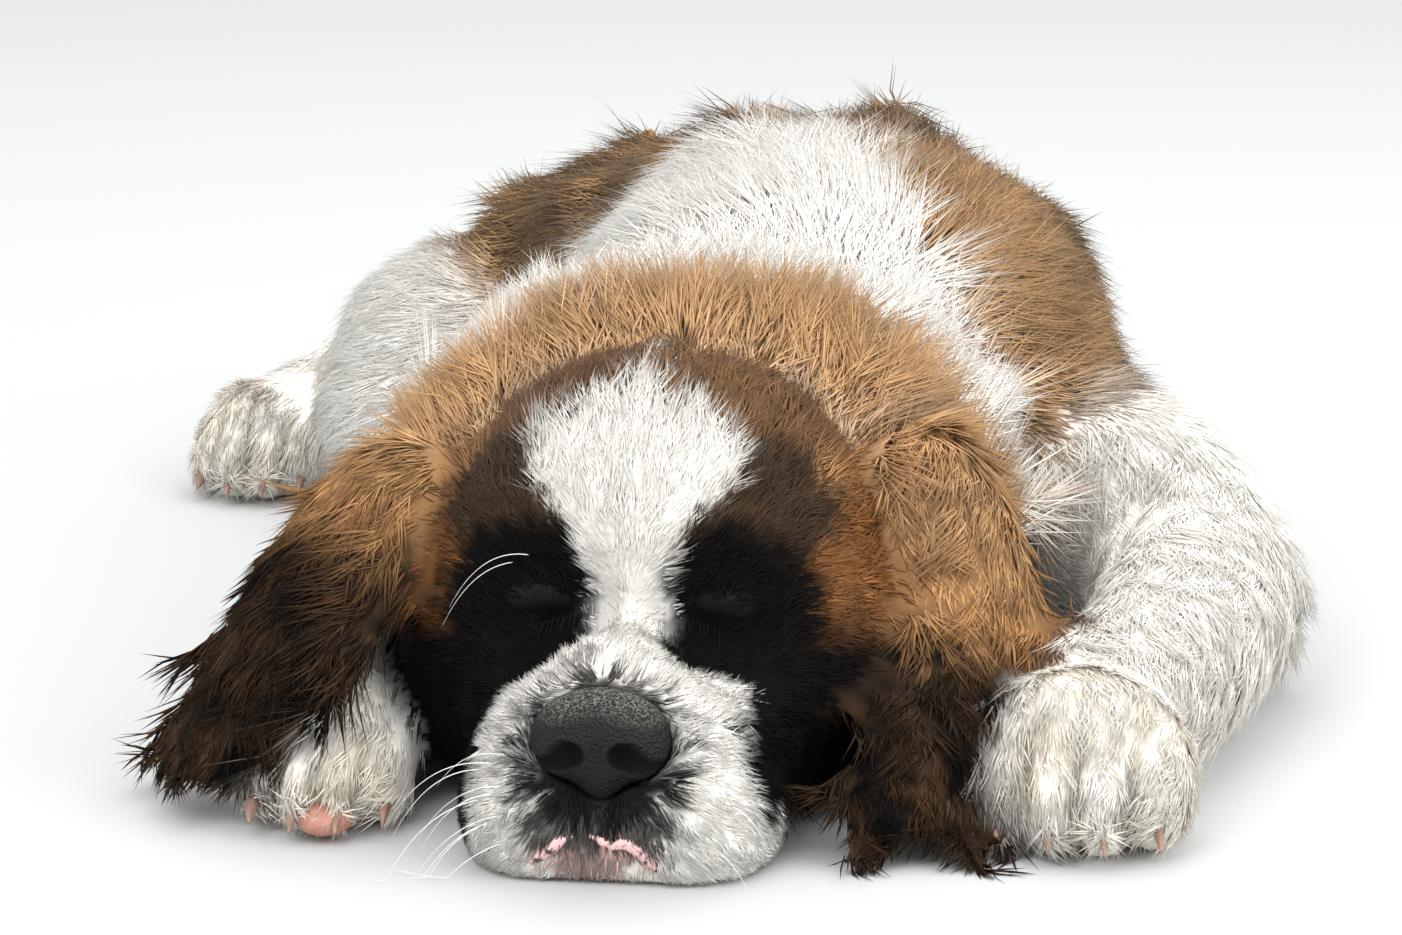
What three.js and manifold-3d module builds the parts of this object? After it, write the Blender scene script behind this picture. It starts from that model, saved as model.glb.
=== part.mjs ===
// A sleeping saint bernard puppy, about nine weeks old, at life size. It lies on its chest with the chin on
// the floor between the front paws, the ears fallen open, and the hind legs folded beside the rump.
// Millimetres, +Z up, the floor at Z = 0. The dog faces -Y, and +X is on its left-hand side.
// Each part is a closed solid out to the tips of the coat, with a thin gap where it meets its neighbour.
import * as THREE from "three";
import { mergeVertices } from "three/addons/utils/BufferGeometryUtils.js";
import Module from "manifold-3d";

const wasm = await Module();
wasm.setup();

// Driving dimensions of the dog, in millimetres and degrees
const SKULL_WIDTH = 142;
const CROWN_HEIGHT = 130;
const MUZZLE_WIDTH = 74;
const NOSE_WIDTH = 36;
const NOSE_HEIGHT = 29;
const NOSE_TIP = new THREE.Vector3(-29, 0, 41);
const HEAD_YAW = THREE.MathUtils.degToRad(8);
const RUFF_WIDTH = 218;
const RUFF_TOP = 148;
const CHEST_WIDTH = 216;
const WITHERS_TOP = 178;
const LOIN_TOP = 154;
const RUMP_TOP = 134;
const PAW_WIDTH = 64;
const GAP = 0.3;
// How far the tips of the locks reach past the body under them, how deep their roots sit, and the size of
// the blocks that cut the body at the floor and the waist
const COAT_DEPTH = 4;
const ROOT_DEPTH = 7;
const FAR = 2000;
const SEED = 20;

// Fields: a field is a function of a point, negative inside the body and roughly the distance to its surface

function ball(centre, radii, turn = 0) {
  const [cx, cy, cz] = centre;
  const [rx, ry, rz] = radii;
  const cos = Math.cos(THREE.MathUtils.degToRad(turn));
  const sin = Math.sin(THREE.MathUtils.degToRad(turn));
  return (p) => {
    const dx = p.x - cx;
    const dy = p.y - cy;
    const x = (dx * cos + dy * sin) / rx;
    const y = (dy * cos - dx * sin) / ry;
    const z = (p.z - cz) / rz;
    const near = Math.hypot(x, y, z);
    const slope = Math.hypot(x / rx, y / ry, z / rz);
    return slope > 0 ? (near * (near - 1)) / slope : -Math.min(rx, ry, rz);
  };
}

// A chain of cones with round joints, for a leg or a tail: each stop is [x, y, z, radius].
function limb(...stops) {
  return (p) => {
    let best = Infinity;
    for (let i = 0; i + 1 < stops.length; i += 1) {
      const [ax, ay, az, ar] = stops[i];
      const [bx, by, bz, br] = stops[i + 1];
      const ex = bx - ax;
      const ey = by - ay;
      const ez = bz - az;
      const along = ((p.x - ax) * ex + (p.y - ay) * ey + (p.z - az) * ez) / (ex * ex + ey * ey + ez * ez);
      const t = THREE.MathUtils.clamp(along, 0, 1);
      const away = Math.hypot(p.x - ax - ex * t, p.y - ay - ey * t, p.z - az - ez * t);
      best = Math.min(best, away - (ar + (br - ar) * t));
    }
    return best;
  };
}

// Joins fields into one, filleted over the width k where they meet.
function blend(k, ...fields) {
  return (p) => {
    let d = fields[0](p);
    for (const field of fields.slice(1)) {
      const e = field(p);
      const h = Math.max(k - Math.abs(d - e), 0) / k;
      d = Math.min(d, e) - (h * h * k) / 4;
    }
    return d;
  };
}

// Presses a dent shaped like a second field into the first.
function dent(k, body, tool) {
  return (p) => {
    const d = body(p);
    const e = -tool(p);
    const h = Math.max(k - Math.abs(d - e), 0) / k;
    return Math.max(d, e) + (h * h * k) / 4;
  };
}

const vec = (x, y, z) => new THREE.Vector3(x, y, z);
const curveThrough = (points) => new THREE.CatmullRomCurve3(points.map((p) => vec(...p)));

// From the inside point, along the direction, to where the field first reaches the level.
function surfaceAt(field, from, direction, level = 0) {
  const step = 3;
  const p = new THREE.Vector3();
  const value = (t) => field(p.copy(direction).multiplyScalar(t).add(from)) - level;
  let near = 0;
  let far = step;
  while (value(far) < 0 && far < 400) {
    near = far;
    far += step;
  }
  for (let i = 0; i < 14; i += 1) {
    const middle = (near + far) / 2;
    if (value(middle) < 0) near = middle;
    else far = middle;
  }
  return direction.clone().multiplyScalar(far).add(from);
}

// Closed geometry from rings of points, with a point at each end.
function closeRings(rings, first, last) {
  const sides = rings[0].length;
  const points = [first, ...rings.flat(), last];
  const faces = [];
  const at = (ring, side) => 1 + ring * sides + (side % sides);
  for (let s = 0; s < sides; s += 1) {
    faces.push(0, at(0, s + 1), at(0, s));
    faces.push(points.length - 1, at(rings.length - 1, s), at(rings.length - 1, s + 1));
    for (let r = 0; r + 1 < rings.length; r += 1) {
      faces.push(at(r, s), at(r, s + 1), at(r + 1, s + 1));
      faces.push(at(r, s), at(r + 1, s + 1), at(r + 1, s));
    }
  }
  const geometry = new THREE.BufferGeometry().setFromPoints(points);
  geometry.setIndex(faces);
  return geometry;
}

// A ray square to an axis curve. At angle 0 it points to the right of the way the axis runs, seen from below,
// and at a quarter turn upwards. lean tips it along the axis.
function spoke(curve, u, angle, lean = 0) {
  const along = curve.getTangentAt(u);
  const side = vec(0, 0, 1).cross(along).normalize();
  const top = along.clone().cross(side).normalize();
  const out = side.multiplyScalar(Math.cos(angle)).addScaledVector(top, Math.sin(angle));
  out.multiplyScalar(Math.cos(lean)).addScaledVector(along, Math.sin(lean)).normalize();
  return { centre: curve.getPointAt(u), out };
}

// Wraps a skin round a field: rays go out square to the axis, and fan over its two ends.
// fans holds how many steps the fan takes at the start and at the end, and crowd packs the first towards its tip.
function wrap(field, { axis, rings, sides, fans = [6, 6], crowd = 1, level = 0 }) {
  const curve = curveThrough(axis);
  const ringAt = (u, lean) =>
    Array.from({ length: sides }, (_, i) => {
      const { centre, out } = spoke(curve, u, (2 * Math.PI * i) / sides, lean);
      return surfaceAt(field, centre, out, level);
    });
  const made = [];
  const [before, after] = fans;
  for (let c = 1; c < before; c += 1) made.push(ringAt(0, (-Math.PI / 2) * (1 - (c / before) ** crowd)));
  for (let r = 0; r <= rings; r += 1) made.push(ringAt(r / rings, 0));
  for (let c = 1; c < after; c += 1) made.push(ringAt(1, (Math.PI / 2) * (c / after)));
  const start = surfaceAt(field, curve.getPointAt(0), curve.getTangentAt(0).negate(), level);
  const end = surfaceAt(field, curve.getPointAt(1), curve.getTangentAt(1), level);
  return closeRings(made, start, end);
}

// Solids: a closed geometry as a manifold, ready to be joined and cut

function solid(geometry) {
  const bare = new THREE.BufferGeometry().setAttribute("position", geometry.getAttribute("position"));
  bare.setIndex(geometry.index);
  const merged = mergeVertices(bare, 1e-3);
  const mesh = new wasm.Mesh({
    numProp: 3,
    vertProperties: merged.getAttribute("position").array,
    triVerts: new Uint32Array(merged.index.array),
  });
  return new wasm.Manifold(mesh);
}

const joined = (...solids) => wasm.Manifold.union(solids);

// The room a part takes with the gap round it, which its neighbours are cut clear of.
const roomOf = (make) => joined(make(0), make(GAP));

// What is left of a solid above the floor and clear of its neighbours, as one piece.
function cleared(body, neighbours = []) {
  const under = solid(new THREE.BoxGeometry(FAR, FAR, FAR).translate(0, 0, -FAR / 2));
  const cut = neighbours.reduce((left, other) => left.subtract(other), body.subtract(under));
  return cut.decompose().sort((a, b) => b.volume() - a.volume())[0];
}

function geometryOf(body) {
  const mesh = body.getMesh();
  const geometry = new THREE.BufferGeometry();
  geometry.setAttribute("position", new THREE.BufferAttribute(new Float32Array(mesh.vertProperties), 3));
  geometry.setIndex(new THREE.BufferAttribute(new Uint32Array(mesh.triVerts), 1));
  return geometry;
}

// Seeded random numbers, so that the locks fall the same way each time

function randomFrom(seed) {
  let state = seed;
  return () => {
    state = (state * 1664525 + 1013904223) % 4294967296;
    return state / 4294967296;
  };
}

// A flat, tapered lock of hair with a ridge along its back. It starts under the skin at the root, runs along
// the lie of the coat, lifts off by the given slope, and bends sideways by curl. grow thickens it all round,
// and settle brings a point down to the skin, so that the lock bends over a round body.
function lock({ root, normal, lie, length, width, lift = 0.2, curl = 0, grow = 0, settle = (p) => p }) {
  const across = normal.clone().cross(lie).normalize();
  const centreAt = (t) =>
    settle(root.clone().addScaledVector(lie, length * t).addScaledVector(across, curl * length * t * t))
      .addScaledVector(normal, length * lift * t * (1 - 0.5 * t) - ROOT_DEPTH * (1 - t) ** 2);
  const rings = [[0, 0.7], [0.4, 1], [0.78, 0.6]].map(([t, share]) => {
    const centre = centreAt(t);
    const half = (width * share) / 2 + 2 * grow;
    const thick = width * share * 0.12 + 2 * grow;
    return [
      centre.clone().addScaledVector(across, half).addScaledVector(normal, -grow),
      centre.clone().addScaledVector(normal, thick),
      centre.clone().addScaledVector(across, -half).addScaledVector(normal, -grow),
    ];
  });
  return solid(closeRings(rings, centreAt(0).addScaledVector(lie, -0.5 - grow), centreAt(1).addScaledVector(lie, grow)));
}

// The outward normal of a field's surface at a point.
function normalAt(field, p) {
  const e = 0.8;
  const d = (x, y, z) => field(vec(p.x + x, p.y + y, p.z + z)) - field(vec(p.x - x, p.y - y, p.z - z));
  return vec(d(e, 0, 0), d(0, e, 0), d(0, 0, e)).normalize();
}

// Locks over a field. Each row is a place along the axis, its first and last angle in degrees and how many,
// and the rows are staggered. lie is the way the coat runs at a point, before it is laid flat on the surface.
function locksOver(field, { axis, rows, lie, length, width, level, grow }) {
  const settle = (p) => p.addScaledVector(normalAt(field, p), level - field(p));
  const curve = curveThrough(axis);
  const random = randomFrom(SEED);
  return rows.flatMap(([u, first, last, count], row) =>
    Array.from({ length: count }, (_, i) => {
      const share = (i + 0.5 + 0.2 * (row % 2 ? 1 : -1) + 0.2 * (random() - 0.5)) / count;
      const { centre, out } = spoke(curve, u, THREE.MathUtils.degToRad(first + (last - first) * share));
      const root = surfaceAt(field, centre, out, level);
      const normal = normalAt(field, root);
      const way = lie(root).addScaledVector(vec(random() - 0.5, random() - 0.5, random() - 0.5), 0.3);
      way.addScaledVector(normal, -way.dot(normal)).normalize();
      const size = 0.85 + 0.3 * random();
      const curl = 0.4 * (random() - 0.5);
      return lock({ root, normal, lie: way, length: length * size, width: width * size, curl, grow, settle });
    }),
  );
}

// Head: local places are [side, back, up] from the nose tip's foot, turned by the head's yaw

function fromNose([side, back, up]) {
  return [
    NOSE_TIP.x + side * Math.cos(HEAD_YAW) + back * Math.sin(HEAD_YAW),
    NOSE_TIP.y + back * Math.cos(HEAD_YAW) - side * Math.sin(HEAD_YAW),
    up,
  ];
}
const YAW_DEGREES = -8;
const headBall = (place, radii, turn = 0) => ball(fromNose(place), radii, YAW_DEGREES + turn);
const bothSides = (make) => [make(-1), make(1)];

const skull = blend(
  26,
  headBall([0, 120, 70], [SKULL_WIDTH / 2 - 4, 62, CROWN_HEIGHT - 70]),
  headBall([0, 96, 84], [46, 30, 40]),
  ...bothSides((s) => headBall([s * 44, 96, 42], [33, 44, 42])),
);
const muzzle = blend(
  16,
  headBall([1, 44, 40], [MUZZLE_WIDTH / 2 - 5, 42, 27]),
  ...bothSides((s) => headBall([1 + s * 22, 34, 22], [22, 31, 27])),
  ...bothSides((s) => headBall([2 + s * 25, 44, 10], [21, 34, 18])),
  headBall([0, 24, 8], [20, 17, 12]),
);
const brows = blend(8, ...bothSides((s) => headBall([s * 30, 84, 84], [22, 14, 14], s * -20)));
const eyeHollows = blend(6, ...bothSides((s) => headBall([s * 27, 50, 65], [22, 12, 13], s * -26)));
const headField = dent(16, blend(16, blend(14, skull, brows), muzzle), eyeHollows);

const headPiece = (level) =>
  solid(
    wrap(headField, {
      axis: [fromNose([0, 92, 44]), fromNose([0, 110, 50]), fromNose([0, 132, 60])],
      rings: 3,
      sides: 36,
      fans: [21, 4],
      crowd: 1.35,
      level,
    }),
  );

// The groove under the nose and the line of the mouth, where the upper lips hang down to the floor
const LIP_GROOVE = 1.7;
function groove(...places) {
  const forward = vec(...fromNose([0, 0, 0])).sub(vec(...fromNose([0, 1, 0])));
  const path = places.map(([side, up]) => surfaceAt(headField, vec(...fromNose([side, 50, up])), forward).toArray());
  const tube = limb(...path.map((p) => [...p, LIP_GROOVE]));
  return solid(wrap(tube, { axis: path, rings: 4, sides: 6, fans: [1, 1] }));
}
const lipLines = [groove([0, 31], [0, 24], [0, 14]), ...bothSides((s) => groove([0, 15], [s * 11, 11], [s * 20, 2]))];

// Nose leather: a broad pad with a centre groove, pierced by two comma nostrils
const middle = NOSE_TIP.z;
const noseField = dent(
  1.2,
  blend(
    5,
    headBall([0, 10, middle + 3], [NOSE_WIDTH / 2, 11, NOSE_HEIGHT / 2 - 2]),
    ...bothSides((s) => headBall([s * 9.5, 8, middle], [9.5, 8.5, 9.5])),
    headBall([0, 9, middle - 7], [7, 7.5, 9]),
  ),
  limb([...fromNose([0, -1.2, middle + 1]), 0.9], [...fromNose([0, -0.5, middle - 16]), 1.2]),
);
const nosePiece = (level) =>
  solid(
    wrap(noseField, {
      axis: [fromNose([0, 8, middle]), fromNose([0, 11, middle])],
      rings: 1,
      sides: 22,
      fans: [6, 2],
      level,
    }),
  );
const nostril = (s) =>
  solid(
    wrap(
      limb(
        [...fromNose([s * 7.4, -1.5, middle - 0.5]), 3],
        [...fromNose([s * 12.5, 0.5, middle - 4]), 2.1],
        [...fromNose([s * 18, 5, middle - 4.6]), 1.3],
      ),
      {
        axis: [
          fromNose([s * 7.4, -1.5, middle - 0.5]),
          fromNose([s * 12.5, 0.5, middle - 4]),
          fromNose([s * 18, 5, middle - 4.6]),
        ],
        rings: 3,
        sides: 7,
        fans: [2, 1],
      },
    ),
  );

// Closed eyelids: the upper lid comes down over the round of the eye and meets the lower lid in one crease
const eyelidField = (s) =>
  blend(
    0.1,
    headBall([s * 27, 70, 67], [16.5, 10, 8], s * -26),
    headBall([s * 27.5, 71, 59.5], [15, 8.5, 5.5], s * -26),
  );
const eyelidPiece = (s, level) =>
  solid(
    wrap(eyelidField(s), {
      axis: [fromNose([s * 26.5, 70, 62]), fromNose([s * 27.5, 74, 62])],
      rings: 1,
      sides: 14,
      fans: [4, 1],
      level,
    }),
  );

// Neck and ruff, a broad cushion of long coat behind the head, and the torso along a spine that bends
// to the dog's right towards the hips
const ruffField = blend(
  24,
  ball([-10, 158, 62], [RUFF_WIDTH / 2 - 6, 46, 70], -6),
  ball([4, 204, RUFF_TOP - 72], [RUFF_WIDTH / 2 - 4, 64, 72], -6),
);
const torsoField = blend(
  36,
  ball([34, 254, 80], [CHEST_WIDTH / 2 - 6, 62, 74], 6),
  ball([48, 300, WITHERS_TOP - 94], [CHEST_WIDTH / 2 - 2, 86, 92], 10),
  ball([34, 372, 74], [92, 84, LOIN_TOP - 62], 14),
  ball([2, 440, 72], [78, 74, RUMP_TOP - 56], 24),
  ball([-40, 492, 66], [72, 62, RUMP_TOP - 66], 30),
);

const RUFF_AXIS = [[-8, 146, 66], [6, 210, 72]];
const SPINE = [[44, 270, 78], [38, 340, 74], [8, 420, 68], [-38, 500, 60]];
const neckPiece = (grow) =>
  joined(
    solid(wrap(ruffField, { axis: RUFF_AXIS, rings: 3, sides: 22, fans: [4, 4], level: grow - COAT_DEPTH })),
    ...locksOver(ruffField, {
      axis: RUFF_AXIS,
      rows: [
        [0.1, -5, 185, 8],
        [0.6, -5, 185, 8],
        [1, 0, 180, 7],
      ],
      lie: (p) => vec(0.006 * p.x, 1, -0.3),
      length: 44,
      width: 38,
      level: -COAT_DEPTH,
      grow,
    }),
  );
const torsoPiece = (grow) =>
  joined(
    solid(wrap(torsoField, { axis: SPINE, rings: 8, sides: 24, fans: [5, 5], level: grow - COAT_DEPTH })),
    ...locksOver(torsoField, {
      axis: SPINE,
      rows: [
        [0.1, 20, 165, 4],
        [0.32, 12, 168, 5],
        [0.55, 12, 168, 5],
        [0.8, 20, 160, 4],
      ],
      lie: (p) => vec(0.004 * (p.x - 20), 1, -0.3),
      length: 62,
      width: 50,
      level: -COAT_DEPTH,
      grow,
    }),
  );

// All that lies behind the waist, or in front of it, with half of the gap, so that the trunk is parted there
const WAIST = 392;
const beyondWaist = (s) =>
  solid(new THREE.BoxGeometry(FAR, FAR, FAR).translate(0, WAIST + (s * (FAR - GAP)) / 2, 0));

// Legs: each is one chain of round cones, from inside the body to the wrist or hock. Breeches of longer
// coat grow behind the thighs.
const legs = {
  foreleg_left: {
    field: blend(
      16,
      ball([128, 252, 48], [48, 56, 50], 20),
      limb([150, 226, 42, 44], [166, 196, 34, 38], [138, 112, 29, 31], [122, 84, 27, 29]),
    ),
    axis: [[128, 252, 46], [158, 204, 36], [138, 112, 29], [124, 88, 27]],
    rings: 10,
    breeches: [],
  },
  foreleg_right: {
    field: limb([-70, 226, 50, 42], [-84, 190, 36, 35], [-101, 128, 27, 28], [-106, 104, 24, 25]),
    axis: [[-70, 226, 50], [-84, 190, 36], [-101, 128, 27], [-105, 108, 24]],
    rings: 7,
    breeches: [],
  },
  hindleg_right: {
    field: blend(
      14,
      ball([-94, 474, 46], [54, 76, 54], 12),
      limb([-118, 424, 32, 32], [-146, 520, 26, 24], [-166, 490, 24, 24]),
    ),
    axis: [[-80, 500, 44], [-112, 450, 38]],
    rings: 6,
    breeches: [
      [0, 100, 230, 5],
      [0.5, 60, 130, 2],
    ],
  },
  hindleg_left: {
    field: blend(
      14,
      ball([58, 482, 40], [50, 72, 48], 34),
      limb([86, 432, 30, 30], [104, 516, 26, 24], [124, 484, 24, 24]),
    ),
    axis: [[38, 508, 42], [78, 450, 36]],
    rings: 6,
    breeches: [
      [0, -50, 80, 5],
      [0.5, 50, 120, 2],
    ],
  },
};
function legPiece(name, grow) {
  const { field, axis, rings, breeches } = legs[name];
  const lie = (p) => vec(0.006 * p.x, 1, -0.25);
  return joined(
    solid(wrap(field, { axis, rings, sides: 16, fans: [3, 3], level: grow })),
    ...locksOver(field, { axis, rows: breeches, lie, length: 30, width: 20, level: 0, grow }),
  );
}

// Paws: a palm, four toes side by side, and fur that fills the clefts
const paws = {
  forepaw_left: { place: [105, 20], yaw: 12, size: PAW_WIDTH + 2 },
  forepaw_right: { place: [-112, 40], yaw: 4, size: PAW_WIDTH - 8 },
  hindpaw_right: { place: [-179, 432], yaw: 10, size: PAW_WIDTH - 6 },
  hindpaw_left: { place: [137, 426], yaw: -4, size: PAW_WIDTH - 6 },
};
function pawSpot(name, side, back, up) {
  const { place, yaw } = paws[name];
  const turn = THREE.MathUtils.degToRad(yaw);
  return [
    place[0] + side * Math.cos(turn) + back * Math.sin(turn),
    place[1] + back * Math.cos(turn) - side * Math.sin(turn),
    up,
  ];
}
const TOES = [
  { side: -22, setBack: 7 },
  { side: -7.5, setBack: 0 },
  { side: 7.5, setBack: 0 },
  { side: 22, setBack: 7 },
];
const CLAW_LENGTH = 9;
const CLAW_WIDTH = 5;
function pawField(name) {
  const { yaw, size } = paws[name];
  const w = size / PAW_WIDTH;
  const toes = TOES.map(({ side, setBack }) =>
    ball(pawSpot(name, side * w, 18 + setBack, 15 * w), [9.4 * w, 19 * w, 17 * w], -yaw - side * 0.5),
  );
  const palm = ball(pawSpot(name, 0, 42, 24 * w), [29 * w, 34, 25 * w], -yaw);
  return blend(6 * w, palm, ...toes);
}
function clawPiece(name, { side, setBack }, level) {
  const w = paws[name].size / PAW_WIDTH;
  const front = setBack - 1;
  const path = [0.55, 0.1, -0.45].map((share, i) =>
    pawSpot(name, side * w * (1 + 0.04 * i), front + share * CLAW_LENGTH, (9.5 - 2.4 * i) * w),
  );
  const radii = [CLAW_WIDTH / 2, CLAW_WIDTH / 2.4, CLAW_WIDTH / 6];
  const claw = limb(...path.map((p, i) => [...p, radii[i]]));
  return solid(wrap(claw, { axis: path, rings: 2, sides: 5, fans: [1, 1], level }));
}
const pawPiece = (name, level) =>
  solid(
    wrap(pawField(name), {
      axis: [pawSpot(name, 0, 26, 18), pawSpot(name, 0, 46, 22)],
      rings: 2,
      sides: 22,
      fans: [5, 2],
      level,
    }),
  );

// Tail: it lies along the floor behind the left thigh
const TAIL_STOPS = [
  [-58, 536, 44, 26],
  [-38, 574, 24, 24],
  [-4, 598, 18, 21],
  [36, 612, 15, 18],
  [76, 616, 10, 12],
];
const tailField = limb(...TAIL_STOPS);
function tailPiece(grow) {
  const axis = TAIL_STOPS.map(([x, y, z]) => [x, y, z]);
  const curve = curveThrough(axis);
  const nearest = (p) => {
    const shares = Array.from({ length: 21 }, (_, i) => i / 20);
    return shares.sort((a, b) => curve.getPointAt(a).distanceTo(p) - curve.getPointAt(b).distanceTo(p))[0];
  };
  return joined(
    solid(wrap(tailField, { axis, rings: 6, sides: 12, fans: [3, 3], level: grow - COAT_DEPTH })),
    ...locksOver(tailField, {
      axis,
      rows: [
        [0.36, -20, 200, 3],
        [0.62, -20, 200, 3],
        [0.86, -20, 200, 3],
      ],
      lie: (p) => curve.getTangentAt(nearest(p)),
      length: 44,
      width: 24,
      level: -COAT_DEPTH,
      grow,
    }),
  );
}

// Ears: a flap of leather and coat from root to tip. Each stop holds its front edge, its crest and its back edge.
// The fringe holds rows of locks: how far across the flap, from where to where along it, and how many.
const EAR_THICKNESS = 16;
const EAR_FRINGE = [
  [-0.92, 0.3, 1, 5],
  [-0.3, 0.4, 1, 3],
  [0.35, 0.35, 1, 3],
  [0.92, 0.35, 1, 5],
];
const ears = {
  ear_right: [
    [[-70, 100, 94], [-84, 122, 101], [-104, 148, 90]],
    [[-84, 72, 70], [-106, 96, 80], [-128, 126, 72]],
    [[-92, 50, 47], [-116, 76, 60], [-139, 110, 54]],
    [[-106, 46, 40], [-126, 70, 48], [-145, 98, 40]],
    [[-122, 48, 27], [-138, 68, 32], [-150, 86, 26]],
    [[-146, 56, 11], [-155, 66, 14], [-162, 76, 11]],
  ],
  ear_left: [
    [[50, 112, 96], [64, 130, 103], [84, 148, 94]],
    [[61, 96, 74], [80, 112, 83], [101, 128, 68]],
    [[60, 74, 52], [80, 88, 60], [104, 108, 44]],
    [[52, 50, 33], [70, 56, 42], [92, 74, 30]],
    [[44, 36, 18], [60, 36, 26], [82, 46, 18]],
    [[48, 24, 9], [60, 22, 12], [74, 30, 9]],
  ],
};
function earPiece(name, grow) {
  const [front, crest, back] = [0, 1, 2].map((k) => curveThrough(ears[name].map((s) => s[k])));
  const sectionAt = (u) => {
    const [f, c, b] = [front, crest, back].map((curve) => curve.getPoint(u));
    const along = crest.getTangent(u);
    const wide = f.clone().sub(b).multiplyScalar(0.5);
    const bow = f.clone().add(b).multiplyScalar(0.5).sub(c);
    return { c, along, wide, bow, flat: along.clone().cross(wide).normalize() };
  };
  const spot = ({ c, wide, bow, flat }, across, off) =>
    c.clone().addScaledVector(wide, across).addScaledVector(bow, across * across).addScaledVector(flat, off);
  const rings = 8;
  const sides = 12;
  const made = Array.from({ length: rings + 1 }, (_, r) => {
    const section = sectionAt(r / rings);
    const reach = 1 + grow / section.wide.length();
    return Array.from({ length: sides }, (__, i) => {
      const angle = (2 * Math.PI * i) / sides;
      return spot(section, reach * Math.cos(angle), (EAR_THICKNESS / 2 + grow) * Math.sin(angle));
    });
  });
  const start = crest.getPoint(0).addScaledVector(crest.getTangent(0), -6 - grow);
  const end = crest.getPoint(1).addScaledVector(crest.getTangent(1), 7 + grow);
  const random = randomFrom(SEED);
  const fringe = EAR_FRINGE.flatMap(([across, first, last, count]) =>
    Array.from({ length: count }, (_, i) => {
      const section = sectionAt(first + ((last - first) * (i + 0.3 * random())) / (count - 1));
      const off = (EAR_THICKNESS / 2) * Math.sqrt(1 - across * across);
      const root = spot(section, across, off - 2);
      const edge = section.wide.clone().normalize().multiplyScalar(across * 0.6);
      const lie = section.along.clone().add(edge).addScaledVector(section.flat, -0.2 * Math.abs(across)).normalize();
      const normal = section.flat.clone().addScaledVector(lie, -section.flat.dot(lie)).normalize();
      const size = 0.85 + 0.4 * random();
      return lock({ root, normal, lie, length: 24 * size, width: 16 * size, curl: 0.5 * (random() - 0.5), grow });
    }),
  );
  return joined(solid(closeRings(made, start, end)), ...fringe);
}

// Parts are made in order of rank: each is cut clear of those before it that it touches

const group = new THREE.Group();
const colours = { tan: 0xa87a4c, white: 0xe9e4da, dark: 0x2e2521, black: 0x17171a, horn: 0x8a7263 };

function add(name, body, colour, roughness = 0.9) {
  const material = new THREE.MeshStandardMaterial({ color: colours[colour], roughness, metalness: 0 });
  const mesh = new THREE.Mesh(geometryOf(body), material);
  mesh.name = name;
  group.add(mesh);
}

const nose = cleared(nosePiece(0), [nostril(-1), nostril(1)]);
const face = [nosePiece(GAP), eyelidPiece(-1, GAP), eyelidPiece(1, GAP), ...lipLines];
add("head", cleared(headPiece(0), face), "white");
add("nose", nose, "black", 0.45);
add("eyelid_right", cleared(eyelidPiece(-1, 0)), "dark");
add("eyelid_left", cleared(eyelidPiece(1, 0)), "dark");
const headGrown = headPiece(GAP);

const pawsGrown = [];
Object.keys(paws).forEach((name) => {
  TOES.forEach((toe, i) => add(`${name}_claw_${i + 1}`, cleared(clawPiece(name, toe, 0)), "horn", 0.4));
  const clawsGrown = TOES.map((toe) => clawPiece(name, toe, GAP));
  add(name, cleared(pawPiece(name, 0), [headGrown, ...clawsGrown]), "white");
  pawsGrown.push(pawPiece(name, GAP), ...clawsGrown);
});

const legsGrown = [];
Object.keys(legs).forEach((name) => {
  add(name, cleared(legPiece(name, 0), [headGrown, ...pawsGrown]), "white");
  legsGrown.push(roomOf((grow) => legPiece(name, grow)));
});

const earsGrown = [];
Object.keys(ears).forEach((name) => {
  add(name, cleared(earPiece(name, 0), [headGrown, ...pawsGrown, ...legsGrown]), "dark");
  earsGrown.push(roomOf((grow) => earPiece(name, grow)));
});

const torsoGrown = roomOf(torsoPiece);
const besideTorso = [headGrown, ...pawsGrown, ...legsGrown, ...earsGrown];
add("torso", cleared(torsoPiece(0), [...besideTorso, beyondWaist(1)]), "tan");
add("hindquarters", cleared(torsoPiece(0), [...besideTorso, beyondWaist(-1)]), "tan");
add("tail", cleared(tailPiece(0), [torsoGrown, ...legsGrown]), "tan");
add("neck", cleared(neckPiece(0), [torsoGrown, headGrown, ...pawsGrown, ...legsGrown, ...earsGrown]), "tan");

// The middle of the footprint goes to the origin
const box = new THREE.Box3().setFromObject(group);
group.position.set(-(box.min.x + box.max.x) / 2, -(box.min.y + box.max.y) / 2, 0);

export default group;
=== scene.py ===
# %% [markdown]
# # A sleeping saint bernard puppy
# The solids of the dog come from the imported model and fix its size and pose. This notebook gives them their
# looks: one skin over all the flesh, a coat of fine tufts that follows the way the hair lies, nose leather,
# lids, claws, lips, a toe pad, whiskers and lashes. Sizes are in metres unless a name ends in `_mm` or
# `_MM`.

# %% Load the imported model
import math

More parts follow.
